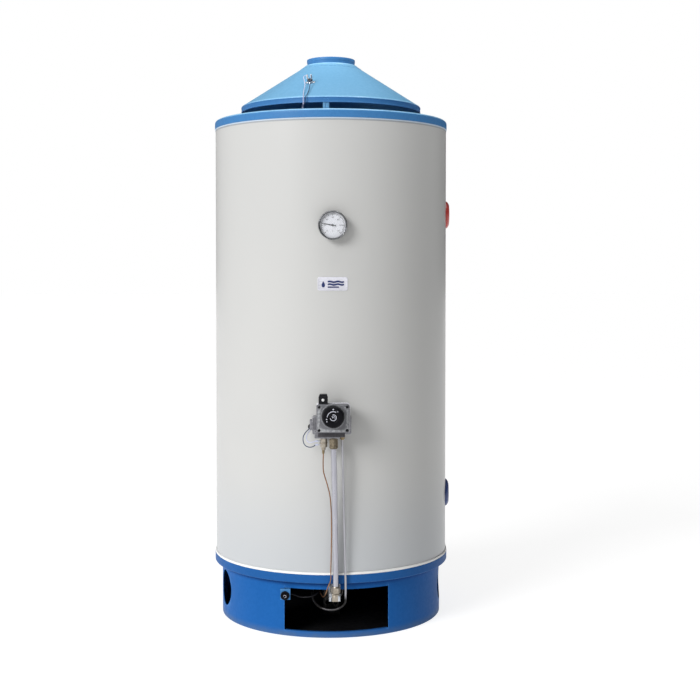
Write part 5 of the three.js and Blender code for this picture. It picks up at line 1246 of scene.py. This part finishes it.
v_out = sweep(vp, venturi_r, 48)
v_in = sweep(vp, lambda t: venturi_r(t) - 1.9, 48)
n_v = len(vp) * 48
shell_v = np.vstack([v_out.v[:n_v], v_in.v[:n_v]])
faces = []
for i in range(len(vp) - 1):
    for k in range(48):
        k2 = (k + 1) % 48
        faces.append((i * 48 + k, i * 48 + k2, (i + 1) * 48 + k2, (i + 1) * 48 + k))
        faces.append((n_v + i * 48 + k, n_v + (i + 1) * 48 + k, n_v + (i + 1) * 48 + k2, n_v + i * 48 + k2))
for i in (0, len(vp) - 1):
    for k in range(48):
        k2 = (k + 1) % 48
        faces.append((i * 48 + k, n_v + i * 48 + k, n_v + i * 48 + k2, i * 48 + k2))
venturi = G(shell_v, faces)
stand = bevel(box(-25, 25, -101, -99, 2.3, 104.0), 0.5, 2)
stand = cut(stand, rod((-12, -104, 40), (-12, -96, 40), 7, 28, 0), rod((12, -104, 40), (12, -96, 40), 7, 28, 0))
stand_foot = bevel(box(-25, 25, -101, -82, 2.3, 4.1), 0.5, 2)
piece("burner_venturi", venturi + stand + stand_foot, "dark_steel", replaces="burner_venturi")
ports = []
head = lathe([(0, 176.4), (30, 176.4, 1.0), (100, 181, 2.0), (104, 185, 1.5), (104, 190, 1.5), (101, 196.6, 2.0), (60, 203, 3.0), (0, 205)], 96, 3, False)
port_tools = [box(-0.9, 0.9, 97.5, 106, 184.2, 192.6).rz(360 / 60 * k) for k in range(60)]
port_tools += [box(-1.0, 1.0, 66, 86, 190, 210).rz(360 / 24 * k) for k in range(24)]
piece("burner_head", cut(head, merge(port_tools)), "dark_steel", replaces="burner_head")

# ---------------------------------------------------------------- piezo igniter
ig = boolean(along(lathe([(0, 0), (12.5, 0, 0.3), (12.5, 2.6, 1.2), (10.8, 4.5, 1.0), (8.2, 4.5, 0.4), (7.6, 3.9, 0.4), (0, 3.9)], 56, 4, False), (IG_X, -341.5, IG_Z), (0, -1, 0)),
             [along(lathe([(0, 0), (9, 0)] + threads(8.3, 0.5, 12.5, 1.6, 0.7) + [(8.4, 13.5), (7.0, 14.0), (0, 14.0)], 40), (IG_X, -342, IG_Z), (0, 1, 0)),
              along(lathe([(0, 0), (3, 0), (3, 8, 0.5), (0, 8)], 24, 3, False), (IG_X, -329, IG_Z), (0, 1, 0))], "UNION")
ig = cut(ig, rod((IG_X, -350, IG_Z), (IG_X, -336, IG_Z), 6.6, 36, 0))
piece("igniter_body", ig, KNOB_BLACK, replaces="igniter_body", sharp=30)
piece("igniter_nut", hex_piece((IG_X, -339.4, IG_Z), (0, 1, 0), 11.4, 3.4, 8.7, turn=10), "zinc_steel")
piece("igniter_button", turn_y([(0, -351.4), (1.5, -351.5), (4.0, -352, 1.0), (6.2, -351.0, 0.8), (6.2, -342), (0, -342)], IG_X, IG_Z, 40, 4, False), KNOB_BLACK,
      body="igniter_push", replaces="igniter_button")
piece("igniter_mark", loft([[(IG_X + r * math.cos(rad(a)), y, IG_Z + r * math.sin(rad(a))) for r, y in ((3.0, -351.6), (3.9, -351.6), (3.9, -351.97), (3.0, -351.97))]
                            for a in np.linspace(200, -110, 28)]), PRINT, body="igniter_push", wear=False)
ibr = boolean(box(-147, -119.2, -341.2, -339.7, IG_Z - 12, IG_Z + 18), [box(-147, -119.2, -341.2, -330, IG_Z + 16.5, IG_Z + 18),
                                                                      box(-120.7, -119.2, -341.2, -338, IG_Z - 12, IG_Z + 18),
                                                                      box(-120.7, -119.2, -341.2, -303, IG_Z - 12, OPENING["z1"] - 0.5),
                                                                      box(-21, 21, -327.5, -326, IG_Z - 12, IG_Z + 18).rz(-25.2)], "UNION")
ibr = cut(ibr, rod((IG_X, -345, IG_Z), (IG_X, -335, IG_Z), 9.3, 36, 0), rod((-125, -311, IG_Z - 3), (-115, -311, IG_Z - 3), 4, 24, 0))
# The igniter bracket takes the lighter copy of the trim paint, its lightness painted light.
piece("igniter_bracket", bevel(ibr, 0.45, 2, 50), LIT_TRIM_BLUE, replaces="igniter_bracket")


# ---------------------------------------------------------------- leads
def near_cone(az, r, lift):
    x, y, _ = at(r, az, 0)
    return (x, y, hood_z(r) + lift)


def tip(sx, up, along_y=0.0):
    return on_cone_point(sx, along_y, up)


HOOD_1 = [tip(-5.9, SPILL_TOP + 6.4), tip(-7.5, SPILL_TOP + 12, -1), tip(-13, SPILL_TOP + 12, -10), near_cone(-20.4, 222, 12), near_cone(-19, 246, 7),
          near_cone(-17.9, 266, 4), at(277, -17.2, 1528), at(279.5, -17.0, 1512), (-82.6, -275.4, 1494), (-82.6, -276.5, 1481)]
HOOD_2 = [tip(5.9, SPILL_TOP + 6.4), tip(7.2, SPILL_TOP + 12, -1), tip(10, SPILL_TOP + 10, -11), near_cone(-16.6, 218, 12), near_cone(-15.5, 244, 7),
          near_cone(-15.4, 266, 4), at(277.5, -15.6, 1529), at(280.5, -16.0, 1512), (-85.2, -280, 1495), (-85.6, -279, 1481)]
port = at(344, WIRE_AZ, WIRE_Z)
LOOP_1 = [(port[0] - 1.6, port[1], port[2] + 1), (-61.8, -352, 598.6), (-67, -362, 594), (-76, -372, 586), (-82, -379, 574), (-81.5, -384, 562), (-76, -388, 552.5),
          (-66, -390, 548.2), (-55, -390.5, 549.5), (-50.5, -390.5, 552.6), (-47, -390.5, 554.6)]
LOOP_2 = [(port[0] + 1.8, port[1], port[2] - 1), (-58.4, -352.5, 597), (-62, -361, 592), (-68, -370, 586), (-72.5, -377, 578), (-72.8, -382, 570), (-69, -386, 563),
          (-61, -389, 561), (-54, -390.3, 562.8), (-47, -390.5, 564.8)]
IGNITION = [(IG_X, -320.6, IG_Z), (-133.9, -317, IG_Z), (-130.6, -312.4, IG_Z - 0.8), (-122, -310.9, IG_Z - 2.7), (-112, -311.5, IG_Z - 4.2), (-90, -312, 112), (-68, -316, 113),
            (-52, -314, 117), (-42, -304, 122), (-34, -280, 126), (-31, -220, 122), (-30, -165, 123), (-30, -133, 134), (-30, -126.3, 147), (-30, -126, 159.3)]


def lead(name, points, r, material, node):
    path = centripetal(points, 12)
    o = piece(name, sweep(path, r, 20, round_ends=False), material, replaces=node, sharp=60, wear=False)
    return o


lead("hood_lead_1", HOOD_1, 1.2, "lead_light", "hood_lead_1")
lead("hood_lead_2", HOOD_2, 1.2, "lead_dark", "hood_lead_2")
lead("loop_lead_1", LOOP_1, 1.3, "lead_dark", "loop_lead_1")
lead("loop_lead_2", LOOP_2, 1.3, "lead_light", "loop_lead_2")
lead("ignition_lead", IGNITION, 1.7, "black_plastic", "ignition_lead")

# ---------------------------------------------------------------- CAD nodes carried over
SLOT_OF = {s["node"]: s["material_slot"] for s in frame["record"]["subparts"]}
for name, o in frame["nodes"].items():
    mat = MATS[SLOT_OF[name]]
    o.data.materials.clear()
    o.data.materials.append(mat)
    if not o.hide_render:
        o.data.polygons.foreach_set("use_smooth", [True] * len(o.data.polygons))
        o.data.set_sharp_from_angle(angle=rad(32))
        b = o.modifiers.new("edge", "BEVEL")
        b.width, b.segments, b.limit_method, b.angle_limit = 0.0004, 2, "ANGLE", rad(35)

# ================================================================ floor, light, camera
me = bpy.data.meshes.new("floor")
me.from_pydata([(-30, -30, -0.0006), (30, -30, -0.0006), (30, 60, -0.0006), (-30, 60, -0.0006)], [], [(0, 1, 2, 3)])
floor = bpy.data.objects.new("floor", me)
SCENE.collection.objects.link(floor)
fm = Mat("floor")
fm.put(fm.b.inputs["Base Color"], fm.mix(fm.noise(1.5, 3, 0.5), (0.37, 0.37, 0.37), (0.35, 0.35, 0.35)))
fm.put(fm.b.inputs["Roughness"], fm.span(fm.noise(40, 3, 0.5), 0.3, 0.7, 0.7, 0.85))
fm.b.inputs["Specular IOR Level"].default_value = 0.2
fm.b.inputs["Emission Color"].default_value = (1, 1, 1, 1)
fm.b.inputs["Emission Strength"].default_value = 0.83
me.materials.append(fm.m)

world = bpy.data.worlds.new("studio")
world.use_nodes = True
wt = world.node_tree
wt.nodes.clear()
w_out = wt.nodes.new("ShaderNodeOutputWorld")
w_mix = wt.nodes.new("ShaderNodeMixShader")
w_soft = wt.nodes.new("ShaderNodeBackground")
w_white = wt.nodes.new("ShaderNodeBackground")
w_path = wt.nodes.new("ShaderNodeLightPath")
w_soft.inputs["Color"].default_value = (1.0, 1.0, 1.0, 1)
w_soft.inputs["Strength"].default_value = 0.25
w_white.inputs["Color"].default_value = (1.0, 1.0, 1.0, 1)
w_white.inputs["Strength"].default_value = 1.0
# the studio is darker on the right
w_tc = wt.nodes.new("ShaderNodeTexCoord")
w_xyz = wt.nodes.new("ShaderNodeSeparateXYZ")
w_map = wt.nodes.new("ShaderNodeMapRange")
for key, val in zip(("From Min", "From Max", "To Min", "To Max"), (-0.9, 0.6, 0.26, 0.02)):
    w_map.inputs[key].default_value = val
wt.links.new(w_tc.outputs["Generated"], w_xyz.inputs[0])
wt.links.new(w_xyz.outputs["X"], w_map.inputs["Value"])
wt.links.new(w_map.outputs[0], w_soft.inputs["Strength"])
wt.links.new(w_path.outputs["Is Camera Ray"], w_mix.inputs[0])
wt.links.new(w_soft.outputs[0], w_mix.inputs[1])
wt.links.new(w_white.outputs[0], w_mix.inputs[2])
wt.links.new(w_mix.outputs[0], w_out.inputs["Surface"])
SCENE.world = world


def area(name, loc, aim, sx, sy, power, color=(1, 1, 1), spread=180):
    d = bpy.data.lights.new(name, "AREA")
    d.shape, d.size, d.size_y, d.energy, d.color = "RECTANGLE", sx, sy, power, color
    d.spread = rad(spread)
    o = bpy.data.objects.new(name, d)
    SCENE.collection.objects.link(o)
    o.location = loc
    o.rotation_euler = (Vector(aim) - Vector(loc)).to_track_quat("-Z", "Y").to_euler()
    return o


def spot(name, loc, aim, power, cone_angle, blend, radius):
    d = bpy.data.lights.new(name, "SPOT")
    d.energy, d.spot_size, d.spot_blend, d.shadow_soft_size = power, rad(cone_angle), blend, radius
    o = bpy.data.objects.new(name, d)
    SCENE.collection.objects.link(o)
    o.location = loc
    o.rotation_euler = (Vector(aim) - Vector(loc)).to_track_quat("-Z", "Y").to_euler()
    return o


def sun(name, az, el, strength, angle):
    d = bpy.data.lights.new(name, "SUN")
    d.energy, d.angle = strength, rad(angle)
    o = bpy.data.objects.new(name, d)
    SCENE.collection.objects.link(o)
    toward = Vector((math.sin(rad(az)) * math.cos(rad(el)), -math.cos(rad(az)) * math.cos(rad(el)), math.sin(rad(el))))
    o.rotation_euler = (-toward).to_track_quat("-Z", "Y").to_euler()
    return o


sun("key", -44.5, 26, 2.56, 28)
area("top", (0.0, -0.5, 3.5), (0, -0.05, 1.6), 2.0, 1.6, 30)
spot("hair", (0.80, -0.35, 3.1), (0.10, -0.03, 1.57), 52, 20.5, 0.6, 0.20)
area("rim", (2.4, 1.0, 1.2), (0, 0, 0.9), 0.5, 2.4, 1.5, (0.96, 0.98, 1.0))

cam_data = bpy.data.cameras.new("camera")
cam_data.lens = 63.57
cam_data.sensor_width = 36
cam_data.shift_y = -0.06
cam = bpy.data.objects.new("camera", cam_data)
SCENE.collection.objects.link(cam)
cam.location = (-0.048, -3.7872, 1.0267)
cam.rotation_euler = (rad(90 - 1.6), 0, rad(-1.605))
SCENE.camera = cam
SCENE.view_settings.view_transform = "Standard"
SCENE.view_settings.look = "None"
SCENE.view_settings.exposure = 0.0
SCENE.view_settings.gamma = 1.0

bpy.context.view_layer.update()
